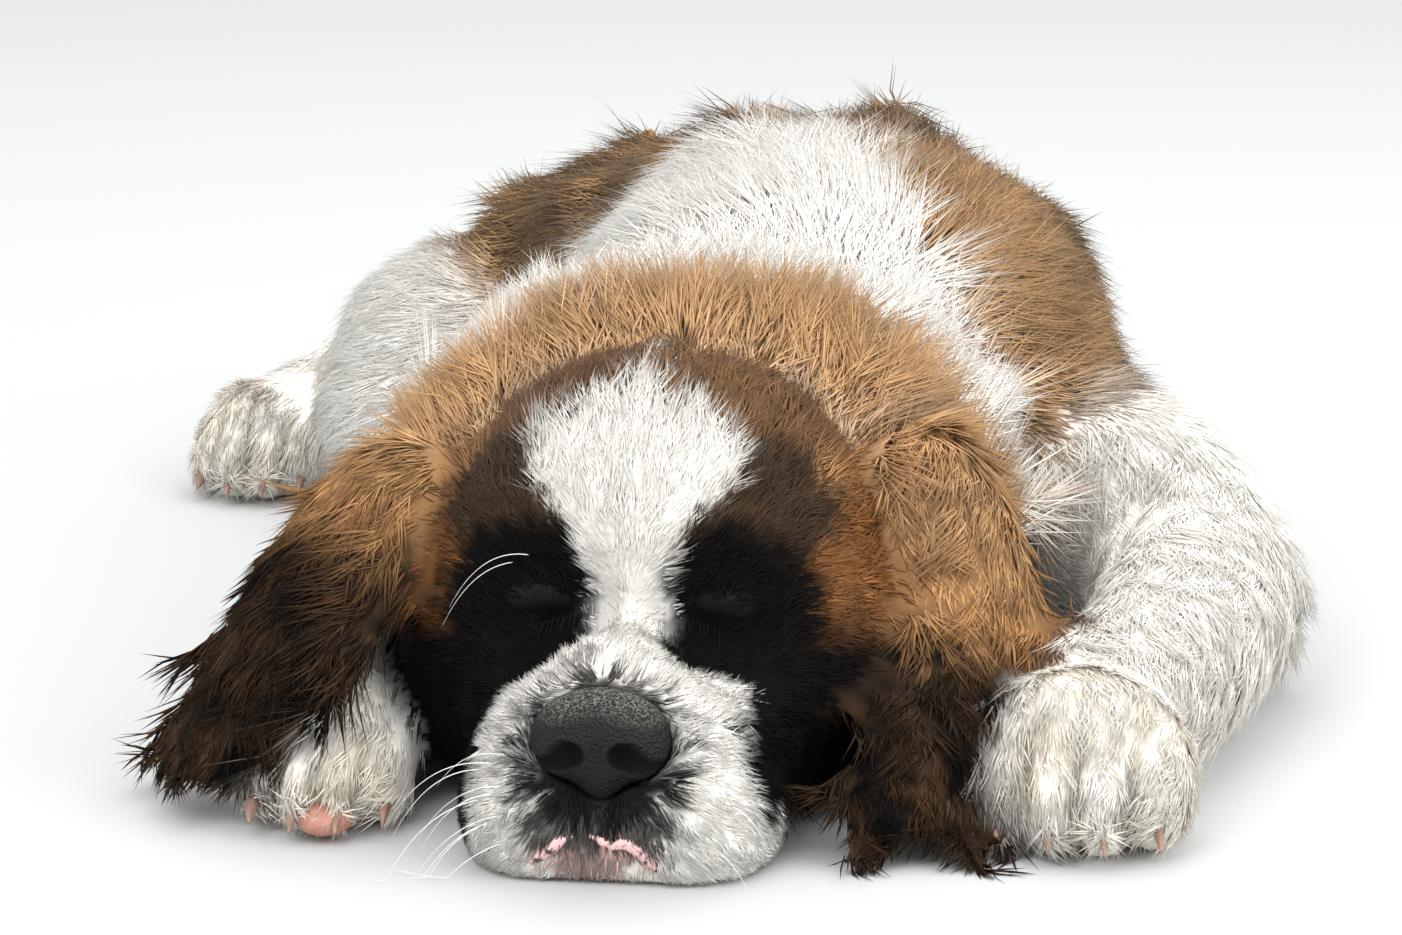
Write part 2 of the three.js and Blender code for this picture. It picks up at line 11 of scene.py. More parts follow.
import bpy
import numpy as np
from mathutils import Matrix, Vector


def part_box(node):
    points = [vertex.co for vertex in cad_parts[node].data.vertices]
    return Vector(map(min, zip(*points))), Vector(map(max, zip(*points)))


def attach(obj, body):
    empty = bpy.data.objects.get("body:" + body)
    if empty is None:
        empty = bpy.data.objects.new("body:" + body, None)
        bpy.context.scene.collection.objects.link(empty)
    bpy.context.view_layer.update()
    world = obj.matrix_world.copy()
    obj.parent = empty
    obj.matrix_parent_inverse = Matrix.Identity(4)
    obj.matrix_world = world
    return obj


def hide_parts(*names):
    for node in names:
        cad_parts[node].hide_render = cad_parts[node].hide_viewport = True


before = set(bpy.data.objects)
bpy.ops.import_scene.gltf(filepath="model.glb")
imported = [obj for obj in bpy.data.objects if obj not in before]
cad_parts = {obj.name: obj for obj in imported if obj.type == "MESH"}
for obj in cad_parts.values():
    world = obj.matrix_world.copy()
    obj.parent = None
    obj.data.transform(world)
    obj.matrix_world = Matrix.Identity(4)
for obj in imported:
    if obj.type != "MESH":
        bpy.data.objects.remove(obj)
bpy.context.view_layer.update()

# %% [markdown]
# The dog is easiest to describe in millimetres from a point on the floor: `x` towards its left-hand side,
# `y` from the nose back to the tail, `z` up. The nose leather is a rigid landmark, so the axes are tied to
# it. The head is turned a little, so it has its own axes: side, back and up from the floor under the nose
# tip.

# %% The dog's own axes
MM = 0.001
NOSE_CENTRE_X_MM, NOSE_FRONT_Y_MM = -27.82, -2.43
NOSE_TIP_MM = np.array([-29.0, 0.0, 41.0])
HEAD_YAW = 8

nose_low, nose_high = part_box("nose")
ORIGIN = np.array([
    (nose_low.x + nose_high.x) / 2 - NOSE_CENTRE_X_MM * MM,
    nose_low.y - NOSE_FRONT_Y_MM * MM,
    0.0,
])


def to_frame(points_mm):
    """Frame metres = origin + dog millimetres / 1000."""
    return ORIGIN + np.asarray(points_mm, float) * MM


def to_dog(points):
    """Dog millimetres = (frame metres - origin) * 1000."""
    return (np.asarray(points, float) - ORIGIN) / MM


def turned(x, y, degrees):
    """A place turned in plan: x cos - y sin, and x sin + y cos."""
    c, s = math.cos(math.radians(degrees)), math.sin(math.radians(degrees))
    return x * c - y * s, x * s + y * c


def head_to_dog(places):
    """The head's (side, back, up) in the dog's axes: turned against the yaw and moved to the nose tip."""
    side, back, up = np.moveaxis(np.asarray(places, float), -1, 0)
    x, y = turned(side, back, -HEAD_YAW)
    return np.stack([NOSE_TIP_MM[0] + x, NOSE_TIP_MM[1] + y, up], -1)


def dog_to_head(points_mm):
    """The same step, undone."""
    x, y, z = np.moveaxis(np.asarray(points_mm, float), -1, 0)
    return np.stack([*turned(x - NOSE_TIP_MM[0], y - NOSE_TIP_MM[1], HEAD_YAW), z], -1)


print("origin of the dog's axes", ORIGIN.round(4))

# %% [markdown]
# The picture is taken from about a metre in front of the nose, a little above it, through a long lens that
# keeps the hindquarters large. The camera is placed in the dog's axes, so the framing stays with the dog.

# %% Camera
IMAGE_WIDTH, FOCAL_PIXELS, SENSOR_MM = 1402, 3700, 36
CAMERA_MM = [0, -970, 360]
CAMERA_TILT = 13.79

camera = bpy.data.objects.new("camera", bpy.data.cameras.new("camera"))
camera.data.sensor_width = SENSOR_MM
camera.data.lens = FOCAL_PIXELS / IMAGE_WIDTH * SENSOR_MM
camera.location = to_frame(CAMERA_MM)
camera.rotation_euler = (math.radians(90 - CAMERA_TILT), 0, 0)
bpy.context.scene.collection.objects.link(camera)
bpy.context.scene.camera = camera
print("lens", round(camera.data.lens, 2), "mm")

# %% [markdown]
# Shader maths reads best as plain expressions, so a small class wraps a socket, and its operators add Math
# nodes. A finish is one material, with one method that adds any node: its settings go in first, then its
# inputs.

# %% A finish and its sockets
class Value:
    """A number that changes over the surface. Its operators add Math nodes to the finish it belongs to."""

    def __init__(self, finish, socket):
        self.finish, self.socket = finish, socket

    def _math(self, operation, *values):
        return self.finish.node("ShaderNodeMath", {"operation": operation}, dict(enumerate(values)))

    def __add__(self, other):
        return self._math("ADD", self, other)

    def __sub__(self, other):
        return self._math("SUBTRACT", self, other)

    def __rsub__(self, other):
        return self._math("SUBTRACT", other, self)

    def __mul__(self, other):
        return self._math("MULTIPLY", self, other)

    __radd__, __rmul__ = __add__, __mul__

    def clip(self):
        """The value held between 0 and 1."""
        return self.finish.node("ShaderNodeClamp", {}, {"Value": self})


class Finish:
    """One material: a Principled shader whose uniform numbers are set on its own sockets."""

    def __init__(self, name, **numbers):
        self.material = bpy.data.materials.new(name)
        self.material.use_nodes = True
        self.tree = self.material.node_tree
        self.shader = self.tree.nodes["Principled BSDF"]
        for socket, number in numbers.items():
            self.shader.inputs[socket.replace("_", " ")].default_value = number

    def node(self, kind, settings, inputs, output=0):
        """Adds a node of a kind, with its settings first, then values or links for its sockets."""
        node = self.tree.nodes.new(kind)
        for name, setting in settings.items():
            setattr(node, name, setting)
        for socket, value in inputs.items():
            if isinstance(value, Value):
                self.tree.links.new(value.socket, node.inputs[socket])
            else:
                node.inputs[socket].default_value = value
        return Value(self, node.outputs[output])

    def place(self):
        """Object coordinates, in metres."""
        return self.node("ShaderNodeTexCoord", {}, {}, "Object")

    def attribute(self, name, output="Color"):
        """A colour or mask stored on the points."""
        return self.node("ShaderNodeAttribute", {"attribute_name": name}, {}, output)

    def noise(self, scale, detail, vector=None):
        """Noise in about 0 to 1, with `scale` lumps to the metre."""
        inputs = {"Vector": vector or self.place(), "Scale": scale, "Detail": detail}
        return self.node("ShaderNodeTexNoise", {}, inputs)

    def mix(self, amount, one, other, blend="MIX"):
        """Mixes two colours. A colour Mix node has its factor at socket 0, A at 6, B at 7, result at 2."""
        settings = {"data_type": "RGBA", "blend_type": blend}
        return self.node("ShaderNodeMix", settings, {0: amount, 6: one, 7: other}, 2)

    def drive(self, socket, value):
        """Links a value to one of the shader's sockets."""
        self.tree.links.new(value.socket, self.shader.inputs[socket])

    def bump(self, height, distance, strength):
        """Tilts the normal as a relief of this height would."""
        inputs = {"Height": height, "Distance": distance, "Strength": strength}
        self.drive("Normal", self.node("ShaderNodeBump", {}, inputs))


def linear(*levels):
    """Screen levels, 0 to 255, as linear light: ((c + 0.055) / 1.055) ** 2.4 above the toe of the curve."""
    c = np.array(levels) / 255
    return np.where(c > 0.04045, ((c + 0.055) / 1.055) ** 2.4, c / 12.92)


def rgba(*levels):
    """The same with an alpha of 1, as a colour socket takes it."""
    return (*linear(*levels), 1)


# %% [markdown]
# Each piece is a mesh made from arrays. Every one rides on the dog's only body, and hides the solids it
# stands for. Whole arrays go into and out of a mesh at once, which is far quicker than point by point.

# %% Pieces from arrays
ROOT = "root"


def read(items, attribute, width, kind=np.float32):
    """One attribute of all the items of a mesh, as rows of a given width."""
    values = np.zeros(len(items) * width, kind)
    items.foreach_get(attribute, values)
    return values.reshape(-1, width)


def add_mesh(name, points, faces):
    """A smooth mesh object at the origin, from points in metres and faces that all have as many corners."""
    faces = np.asarray(faces, np.int32)
    mesh = bpy.data.meshes.new(name)
    mesh.vertices.add(len(points))
    mesh.vertices.foreach_set("co", np.asarray(points, np.float32).ravel())
    mesh.loops.add(faces.size)
    mesh.loops.foreach_set("vertex_index", faces.ravel())
    mesh.polygons.add(len(faces))
    mesh.polygons.foreach_set("loop_start", np.arange(0, faces.size, faces.shape[1], dtype=np.int32))
    mesh.polygons.foreach_set("use_smooth", np.full(len(faces), True))
    mesh.update(calc_edges=True)
    piece = bpy.data.objects.new(name, mesh)
    bpy.context.scene.collection.objects.link(piece)
    return piece


def colour_points(piece, name, colours):
    """Stores a colour on each point, for a finish to read by its name."""
    rows = np.column_stack([colours, np.ones(len(colours))])
    layer = piece.data.color_attributes.new(name, "FLOAT_COLOR", "POINT")
    layer.data.foreach_set("color", rows.astype(np.float32).ravel())


def dress(piece, finish, replaces=()):
    """Gives a piece its finish and its place on the body, and hides the solids it stands for."""
    piece.data.materials.clear()
    piece.data.materials.append(finish.material)
    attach(piece, ROOT)
    if replaces:
        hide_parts(*replaces)
    return piece


def unit(vectors):
    """v / |v|."""
    return vectors / np.maximum(np.linalg.norm(vectors, axis=-1, keepdims=True), 1e-9)


def smoothstep(low, high, x):
    """0 below low, 1 above high, and 3t^2 - 2t^3 between them."""
    t = np.clip((np.asarray(x, float) - low) / (high - low), 0, 1)
    return t * t * (3 - 2 * t)


def fade(low, high, x):
    """1 below low and 0 above high."""
    return 1 - smoothstep(low, high, x)


# %% [markdown]
# The flesh is one skin. Separate solids would show their joins through the fur, so they are copied, grown
# by a hair's breadth until they overlap, and remeshed as one closed shell of small squares.

# %% Gather the flesh
LIMBS = ["foreleg_left", "foreleg_right", "hindleg_right", "hindleg_left"]
PAWS = ["forepaw_left", "forepaw_right", "hindpaw_right", "hindpaw_left"]
EARS = ["ear_left", "ear_right"]
FLESH = ["head", "neck", "torso", "hindquarters", "tail", *LIMBS, *PAWS, *EARS]
OVERLAP, VOXEL = 0.0006, 0.0028
MICRONS_PER_METRE = 1e6


def point_normals(points, faces):
    """The sum of the normals of the triangles round each point, weighted by their area."""
    a, b, c = points[faces[:, 0]], points[faces[:, 1]], points[faces[:, 2]]
    area = np.cross(b - a, c - a)
    normals = np.zeros_like(points)
    for k in range(3):
        for axis in range(3):
            normals[:, axis] += np.bincount(faces[:, k], area[:, axis], len(points))
    return unit(normals)


def welded(node):
    """A node's mesh with points merged that agree to a micron: points, point normals and triangles."""
    co = read(node.data.vertices, "co", 3)
    corners = read(node.data.loops, "vertex_index", 1, np.int32).ravel()
    keys = (co * MICRONS_PER_METRE).round().astype(np.int64)
    _, first, back = np.unique(keys, axis=0, return_index=True, return_inverse=True)
    points = co[first].astype(float)
    faces = back.ravel()[corners].reshape(-1, 3)
    return points, point_normals(points, faces), faces


flesh_points, flesh_faces, sample_points, sample_part = [], [], [], []
count = 0
for name in [*FLESH, "eyelid_left", "eyelid_right"]:
    points, normals, faces = welded(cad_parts[name])
    flesh_points.append(points + normals * OVERLAP)
    flesh_faces.append(faces + count)
    sample_points.append(np.concatenate([points, points[faces].mean(1)]))
    part_index = FLESH.index(name if name in FLESH else "head")
    sample_part.append(np.full(len(points) + len(faces), part_index))
    count += len(points)
sample_points, sample_part = np.concatenate(sample_points), np.concatenate(sample_part)
flesh = add_mesh("flesh", np.concatenate(flesh_points), np.concatenate(flesh_faces))
print("flesh", count, "points in", len(FLESH), "parts")

# %% Remesh it as one shell
remesh = flesh.modifiers.new("one shell", "REMESH")
remesh.mode, remesh.voxel_size = "VOXEL", VOXEL
shell = bpy.data.meshes.new_from_object(flesh.evaluated_get(bpy.context.evaluated_depsgraph_get()))
bpy.data.objects.remove(flesh)


def largest_shell(points, faces):
    """Keeps the largest connected surface: labels spread along the faces until they settle."""
    label = np.arange(len(points))
    while True:
        new = label.copy()
        np.minimum.at(new, faces.ravel(), np.repeat(label[faces].min(1), 4))
        new = new[new]
        if np.array_equal(new, label):
            break
        label = new
    kept = label[faces[:, 0]] == np.bincount(label).argmax()
    used, faces = np.unique(faces[kept], return_inverse=True)
    return points[used], faces.reshape(-1, 4)


shell_points = read(shell.vertices, "co", 3).astype(float)
shell_faces = read(shell.loops, "vertex_index", 1, np.int32).reshape(-1, 4)
skin_points, skin_faces = largest_shell(shell_points, shell_faces)
edges = np.concatenate([skin_faces[:, [k, (k + 1) % 4]] for k in range(4)])
edges = np.unique(np.sort(edges, axis=1), axis=0)
degree = np.bincount(edges.ravel(), minlength=len(skin_points))
print("skin", len(skin_points), "points", len(skin_faces), "faces")

# %% [markdown]
# Each point of the shell belongs to the part of the dog that it lies nearest to. The parts fade into each
# other over a centimetre or so, so every measure that is set by part, such as the depth of the coat,
# changes smoothly.

# %% Which part each point belongs to
def neighbour_mean(values):
    """The mean of each point's neighbours along the edges."""
    total = np.empty_like(values)
    for k in range(values.shape[1]):
        total[:, k] = np.bincount(edges[:, 0], values[edges[:, 1], k], len(values))
        total[:, k] += np.bincount(edges[:, 1], values[edges[:, 0], k], len(values))
    return total / degree[:, None]


def evened(values, rounds, keep):
    """Each round keeps a share of a value and takes the rest from its neighbours' mean."""
    for _ in range(rounds):
        values = keep * values + (1 - keep) * neighbour_mean(values)
    return values


def nearest_sample(points, chunk=1500):
    """The nearest sample of each point, by |a - b|^2 = |a|^2 - 2 ab + |b|^2, a chunk at a time."""
    a, b = points.astype(np.float32), sample_points.astype(np.float32)
    length = (b * b).sum(1)
    found = [(length - 2 * part @ b.T).argmin(1) for part in np.array_split(a, len(a) // chunk + 1)]
    return np.concatenate(found)


weights = evened(np.eye(len(FLESH))[sample_part[nearest_sample(skin_points)]], 14, 0.4)
share = {name: weights[:, i] for i, name in enumerate(FLESH)}
for whole, members in {"trunk": ["torso", "hindquarters"], "legs": LIMBS, "paws": PAWS, "ears": EARS}.items():
    share[whole] = sum(share[name] for name in members)


def by_part(**values):
    """A measure for each point of the skin from one value for each kind of part."""
    return sum(share[name] * value for name, value in values.items())


print("largest part", FLESH[int(weights.sum(0).argmax())])

# %% [markdown]
# The front of each paw shows its toes as soft swellings with clefts between them. The clefts are a mask in
# the paw's own axes, which presses the skin in here and shades the fur later on.

# %% Toes
PAW_PLACES_MM = {
    "forepaw_left": (105, 20, 12, 66),
    "forepaw_right": (-112, 40, 4, 56),
    "hindpaw_right": (-179, 432, 10, 58),
    "hindpaw_left": (137, 426, -4, 58),
}
PAW_WIDTH_MM, TOE_MM, CLEFT_MM, TOES_TO_SIDE_MM = 64, 15, 2.4, 21


def toe_clefts(points_mm, part):
    """exp(-(d / width)^2) with d the way to the nearest cleft, scaled to each paw's (x, y, yaw, width)."""
    mask = np.zeros(len(points_mm))
    for name, (x, y, yaw, width) in PAW_PLACES_MM.items():
        side, back = turned(points_mm[:, 0] - x, points_mm[:, 1] - y, yaw)
        side, back = side * PAW_WIDTH_MM / width, back * PAW_WIDTH_MM / width
        away = (side + TOE_MM / 2) % TOE_MM - TOE_MM / 2
        cleft = np.exp(-(away / CLEFT_MM) ** 2) * (np.abs(side) < TOES_TO_SIDE_MM)
        mask += part[name] * cleft * fade(16, 32, back) * fade(28, 40, points_mm[:, 2])
    return mask


# %% [markdown]
# The locks of the solids give way to finer ones here, so the shell is smoothed, most on the body and least
# on the paws and the face. Then it is drawn in by the depth of the coat that will stand on it: far under
# the plush of the back, hardly at all on the face, and not where the dog rests on the floor.

# %% Smooth the shell and draw it in under the coat
ROUNDS, ROUNDS_ON_FINE_PARTS, FINE_PARTS, STEP = 60, 12, 0.3, 0.6
CLEFT_DEPTH, SKIN_ABOVE_FLOOR = 0.0026, 0.0012

face_share = share["head"] * fade(56, 100, dog_to_head(to_dog(skin_points))[:, 1])
smoothing = by_part(head=0.25, neck=1, trunk=1, tail=1, legs=0.7, paws=0.12, ears=0.5)[:, None]
for step in range(ROUNDS):
    amount = STEP * smoothing * ((smoothing > FINE_PARTS) | (step < ROUNDS_ON_FINE_PARTS))
    skin_points += amount * (neighbour_mean(skin_points) - skin_points)

triangles = np.concatenate([skin_faces[:, [0, 1, 2]], skin_faces[:, [0, 2, 3]]])
normals = point_normals(skin_points, triangles)
coat_depth_mm = by_part(head=5.5, neck=10, trunk=9.5, tail=6, legs=5.5, paws=2.2, ears=2) - 3.7 * face_share
resting = smoothstep(0.2, 0.9, -normals[:, 2])
drawn_in_mm = evened((coat_depth_mm * (1 - 0.85 * resting))[:, None], 6, 0.5)
skin_points -= normals * drawn_in_mm * MM
for _ in range(3):
    skin_points += 0.5 * smoothing * (neighbour_mean(skin_points) - skin_points)
cleft_in = toe_clefts(to_dog(skin_points), share)[:, None] * CLEFT_DEPTH
skin_points -= point_normals(skin_points, triangles) * cleft_in
skin_points[:, 2] = np.maximum(skin_points[:, 2], SKIN_ABOVE_FLOOR)
normals = point_normals(skin_points, triangles)
skin_mm = to_dog(skin_points)
head_mm = dog_to_head(skin_mm)
print("skin from", skin_mm.min(0).round(1), "to", skin_mm.max(0).round(1))

# %% [markdown]
# The markings are painted by rules on the dog's own shape, and the skin and the coat both follow them. A
# blaze runs up the face and widens on the brow, the muzzle is white, the eyes sit in black, the cheeks are
# orange, a dark arc and a tan ring frame the head, the collar, chest, belly and legs are white, and a tan
# mantle with dark hair tips lies over the back and sides. Sums of sine waves at seeded angles feather every
# edge.

# %% Feathered edges
def ripples(points_mm, wavelength, seed, waves=7):
    """A smooth random field in about -1 to 1: 1.9 times the mean of sine waves in random directions."""
    pick = np.random.default_rng(seed)
    directions = unit(pick.normal(size=(waves, 3)))
    lengths = wavelength * pick.uniform(0.6, 1.6, waves)
    phases = pick.uniform(0, 2 * np.pi, waves)
    waves_at = np.sin(np.asarray(points_mm) @ (directions.T * 2 * np.pi / lengths) + phases)
    return waves_at.mean(-1) * 1.9


def spot(points, centre, radii):
    """How far a point is from the middle of a spot, in radii."""
    return np.linalg.norm((points - np.asarray(centre, float)) / np.asarray(radii, float), axis=-1)


def paint(under, over, mask):
    """Lays one colour over another by a mask from 0 to 1."""
    return under + (over - under) * mask[..., None]


# %% [markdown]
# The colours are named once and mixed from then on. They are given as they look on a screen, and worked
# with as linear light, as a shader does.

# %% Colours of the coat
WHITE = linear(243, 240, 234)
CREAM = linear(231, 221, 198)
LIGHT_TAN = linear(190, 152, 110)
TAN = linear(168, 126, 84)
ORANGE = linear(146, 98, 56)
BROWN = linear(90, 66, 46)
SABLE = linear(54, 43, 34)
BLACK = linear(15, 13, 12)
SLATE = linear(70, 66, 64)
PINK = linear(214, 178, 172)

# %% [markdown]
# On the head, each marking is a band or a spot in the head's own axes, and a later one lies over the
# earlier ones. The blaze and the white muzzle have outlines that no simple shape gives, so their
# half-widths are read off a short table by height.

# %% Markings of the head
BLAZE_MM = ([60, 71, 80, 89, 97, 106, 114, 120, 125], [11, 9.5, 11, 17, 25, 31, 25, 13, 0])
MUZZLE_LEFT_MM = ([6, 15, 26, 38, 50, 61, 66, 70, 72], [51, 47, 41, 36, 33, 27, 20, 13, 10])
MUZZLE_RIGHT_MM = ([3, 14, 26, 37, 46, 56, 65, 69, 72], [42, 38, 36, 35, 34, 32, 26, 18, 10])
FACE_SPOTS = [
    ((-6, 60.5), (3.2, 1.6), SLATE, 0.6),
    ((-8, 58), (2.2, 1.4), SLATE, 0.6),
    ((13.5, 52.5), (2.4, 2.2), SLATE, 0.7),
    ((24.5, 60), (3.0, 1.6), SLATE, 0.7),
    ((3, 68), (1.8, 1.2), SLATE, 0.45),
    ((18, 38), (3.4, 3.4), SLATE, 0.5),
    ((-1, 54.5), (9, 3.6), SLATE, 0.9),
    ((0, 20), (22, 14), SLATE * 0.7, 0.9),
    ((0, 38), (25, 20), SLATE * 0.25, 1.0),
    ((-12, 11.5), (6.5, 4.2), PINK, 0.9),
    ((7.5, 11.5), (9.5, 4.2), PINK, 0.9),
    ((-4, 5), (11, 4.5), PINK * 0.45, 0.85),
]


def head_markings(places, feather):
    """The head's markings from places (side, back, up); feather shifts each edge by a few millimetres."""
    side, back, up = (places + feather).T
    left = side > 0
    out = np.abs(side)
    mirrored = np.stack([out, back, up], -1)
    colour = paint(TAN, LIGHT_TAN, smoothstep(120, 150, back))
    arc = smoothstep(96, 108, up) * fade(138, 156, back)
    colour = paint(colour, BROWN, np.where(left, 0.72, 0.88) * arc)
    cheek = smoothstep(36, 50, out) * fade(84, 100, up) * fade(96, 124, back)
    colour = paint(colour, ORANGE, cheek)
    streak = smoothstep(-0.1, 0.5, ripples(places * [1, 1, 0.45], 16, 37))
    colour = paint(colour, SABLE, np.where(left, 0.4, 0.7) * cheek * streak * fade(60, 96, up))
    low_cheek = smoothstep(30, 46, out) * fade(34, 58, up) * fade(104, 130, back)
    colour = paint(colour, SABLE * 0.7, 0.95 * low_cheek)
    brow = fade(0.75, 1.2, spot(mirrored, [34, 68, 93], [27, 30, 16]))
    colour = paint(colour, SABLE, 0.95 * brow)
    eye_patch = fade(0.85, 1.15, spot(mirrored, [27, 58, 65], [27, 40, 23]))
    colour = paint(colour, BLACK, eye_patch)
    jowl = fade(92, 112, back) * fade(52, 68, up)
    colour = paint(colour, BLACK, jowl * smoothstep(14, 24, out))
    blaze = fade(-2.5, 3.5, np.abs(side + 1) - np.interp(up, *BLAZE_MM))
    colour = paint(colour, WHITE * 0.84, blaze * smoothstep(46, 58, up) * fade(122, 136, back))
    beyond = out - np.where(left, np.interp(up, *MUZZLE_LEFT_MM), np.interp(up, *MUZZLE_RIGHT_MM))
    shelf = np.where(left, 55, 47) - 0.12 * up - 0.45 * np.maximum(up - 46, 0)
    muzzle = fade(-2.5, 2, beyond) * fade(-3, 3, back - shelf) * fade(66, 74, up)
    return paint(colour, WHITE * 0.92, muzzle)


def face_spots(places, colour):
    """Freckles, the grey above the nose and round the groove below it, and the pink of the lips."""
    side, back, up = places.T
    flat = np.stack([side, up], -1)
    wobble = ripples(places, 5, 31) * 0.16
    for centre, radii, over, strength in FACE_SPOTS:
        mask = fade(0.72, 1.12, spot(flat, centre, radii) + wobble)
        colour = paint(colour, over, mask * fade(40, 60, back) * strength)
    return colour


# %% [markdown]
# Behind the head the dog is white, and the tan is laid over it: a ring round the head, a band down the left
# side and the saddle over the hips. The ears change from tan at the top to black at the tip. The root of a
# hair and its tip differ: the mantle's guard hairs end in grey and black.

# %% Markings of the body, the ears and the whole dog
LEFT_BAND_MM = ([36, 70, 95, 119, 137, 166], [104, 95, 90, 79, 68, 54])
EAR_TOP_MM = {"ear_left": np.array([64.0, 130, 103]), "ear_right": np.array([-84.0, 122, 101])}
EAR_TIP_MM = {"ear_left": np.array([60.0, 22, 12]), "ear_right": np.array([-155.0, 66, 14])}
EAR_TAN_SHARE = {"ear_left": 0.50, "ear_right": 0.26}


def body_markings(points, part, feather):
    """The colours behind the head, and the mask of the mantle."""
    x, y, z = (points + feather).T
    ring = part["neck"] * fade(0.90, 1.12, spot(points, [-6, 132, 40], [112, 74, 110]))
    colour = paint(WHITE, LIGHT_TAN, ring)
    beside_head = part["neck"] * fade(150, 190, y) * fade(62, 86, z)
    colour = paint(colour, ORANGE * 0.7, beside_head)
    left_band = smoothstep(-6, 7, x - np.interp(z, *LEFT_BAND_MM)) * smoothstep(180, 205, y)
    saddle = smoothstep(0, 18, y - 306 - 0.48 * np.clip(40 - x, 0, 120))
    mantle = np.maximum(left_band, saddle)
    mantle *= smoothstep(34, 52, z) * (1 - part["legs"])
    colour = paint(colour, LIGHT_TAN * 0.85, mantle)
    ridge = mantle * smoothstep(0.35, 0.8, ripples(points, 60, 41) * 0.35 + 0.5) * smoothstep(280, 330, y)
    colour = paint(colour, BROWN, 0.35 * ridge)
    colour = paint(colour, LIGHT_TAN * 0.8, part["tail"] * fade(40, 66, x))
    # Brown under the ears, and a halo of it on the parts they touch, which stands as painted shade there.
    return paint(colour, BROWN, smoothstep(0.04, 0.3, part["ears"]) * (1 - part["paws"])), mantle


def ear_markings(points_mm, name, feather, near_head):
    """Tan at the top, then brown streaks in black, by the way along the ear; darker beside the head."""
    way = EAR_TIP_MM[name] - EAR_TOP_MM[name]
    along = ((points_mm - EAR_TOP_MM[name]) @ way) / (way @ way)
    upper = EAR_TAN_SHARE[name] - 0.35 * near_head
    streaks = smoothstep(0.1, 0.9, ripples(points_mm, 14, 23) * 0.5 + 0.5)
    dark = paint(BLACK, BROWN * 0.8, 0.6 * streaks)
    ear = paint(TAN, dark, smoothstep(upper - 0.10, upper + 0.12, along + 0.03 * feather[:, 0]))
    return paint(ear, LIGHT_TAN, fade(upper - 0.35, upper - 0.05, along) * (1 - near_head))


def markings(points_mm, part):
    """Linear colours of the coat at the root and the tip for points, given each one's shares of the parts."""
    feather = [ripples(points_mm, 9, 3 + k) + 0.6 * ripples(points_mm, 3.5, 10 + k) for k in range(3)]
    feather = np.stack(feather, -1)
    head = dog_to_head(points_mm)
    on_head = face_spots(head, head_markings(head, feather * 1.6))
    on_body, mantle = body_markings(points_mm, part, feather * 3)
    colour = paint(on_body, on_head, np.clip(part["head"] * 1.6, 0, 1))
    near_head = fade(52, 66, np.abs(head[:, 0]))
    for name in EARS:
        ear = ear_markings(points_mm, name, feather, near_head)
        colour = paint(colour, ear, np.clip(part[name] * 1.2, 0, 1))
    x, y, z = points_mm.T
    stain = np.clip(part["paws"] * 0.55 + part["legs"] * 0.3 * fade(10, 45, z), 0, 0.8)
    white = smoothstep(0.75, 0.95, colour.min(-1) / WHITE.min())
    colour = paint(colour, CREAM, white * stain * (0.6 + 0.4 * ripples(points_mm, 30, 33)))
    # Painted shade in the clefts between the toes.
    colour = paint(colour, CREAM * 0.55, 0.7 * white * toe_clefts(points_mm, part))
    shade = 0.12 * ripples(points_mm, 6, 43) + 0.10 * ripples(points_mm, 40, 44)
    colour = colour * (1 + shade * (1 - 0.85 * white))[:, None]
    root = np.clip(colour, 0.004, 0.94)
    toward_outline = 0.25 + 0.75 * np.maximum(smoothstep(268, 300, y), smoothstep(104, 124, x))
    dark_tips = mantle * toward_outline * (0.5 + 0.6 * ripples(points_mm, 26, 53)) * (1 - part["head"])
    tip = paint(np.clip(colour * 1.05, 0.004, 0.95), SLATE * 0.6, np.clip(1.5 * dark_tips, 0, 0.95))
    return root, tip


skin_colour, _ = markings(skin_mm, share)
print("mean coat colour", skin_colour.mean(0).round(3))

# %% [markdown]
# The coat lies in a flow over the body. It parts at the nose, runs back over the brow and down the cheeks,
# fans out behind the head, then runs to the tail and down the flanks, and on each leg it runs to the toes.
# The flow is a blend of simple directions by part, laid flat on the skin and evened out from point to
# point.

# %% The way the hair lies
SPINE_Y_MM, SPINE_X_MM, SPINE_TURN = [270, 340, 420, 500], [44, 38, 8, -38], [-0.1, -0.3, -0.5, -0.65]
TAIL_X_MM = [-60, 80]


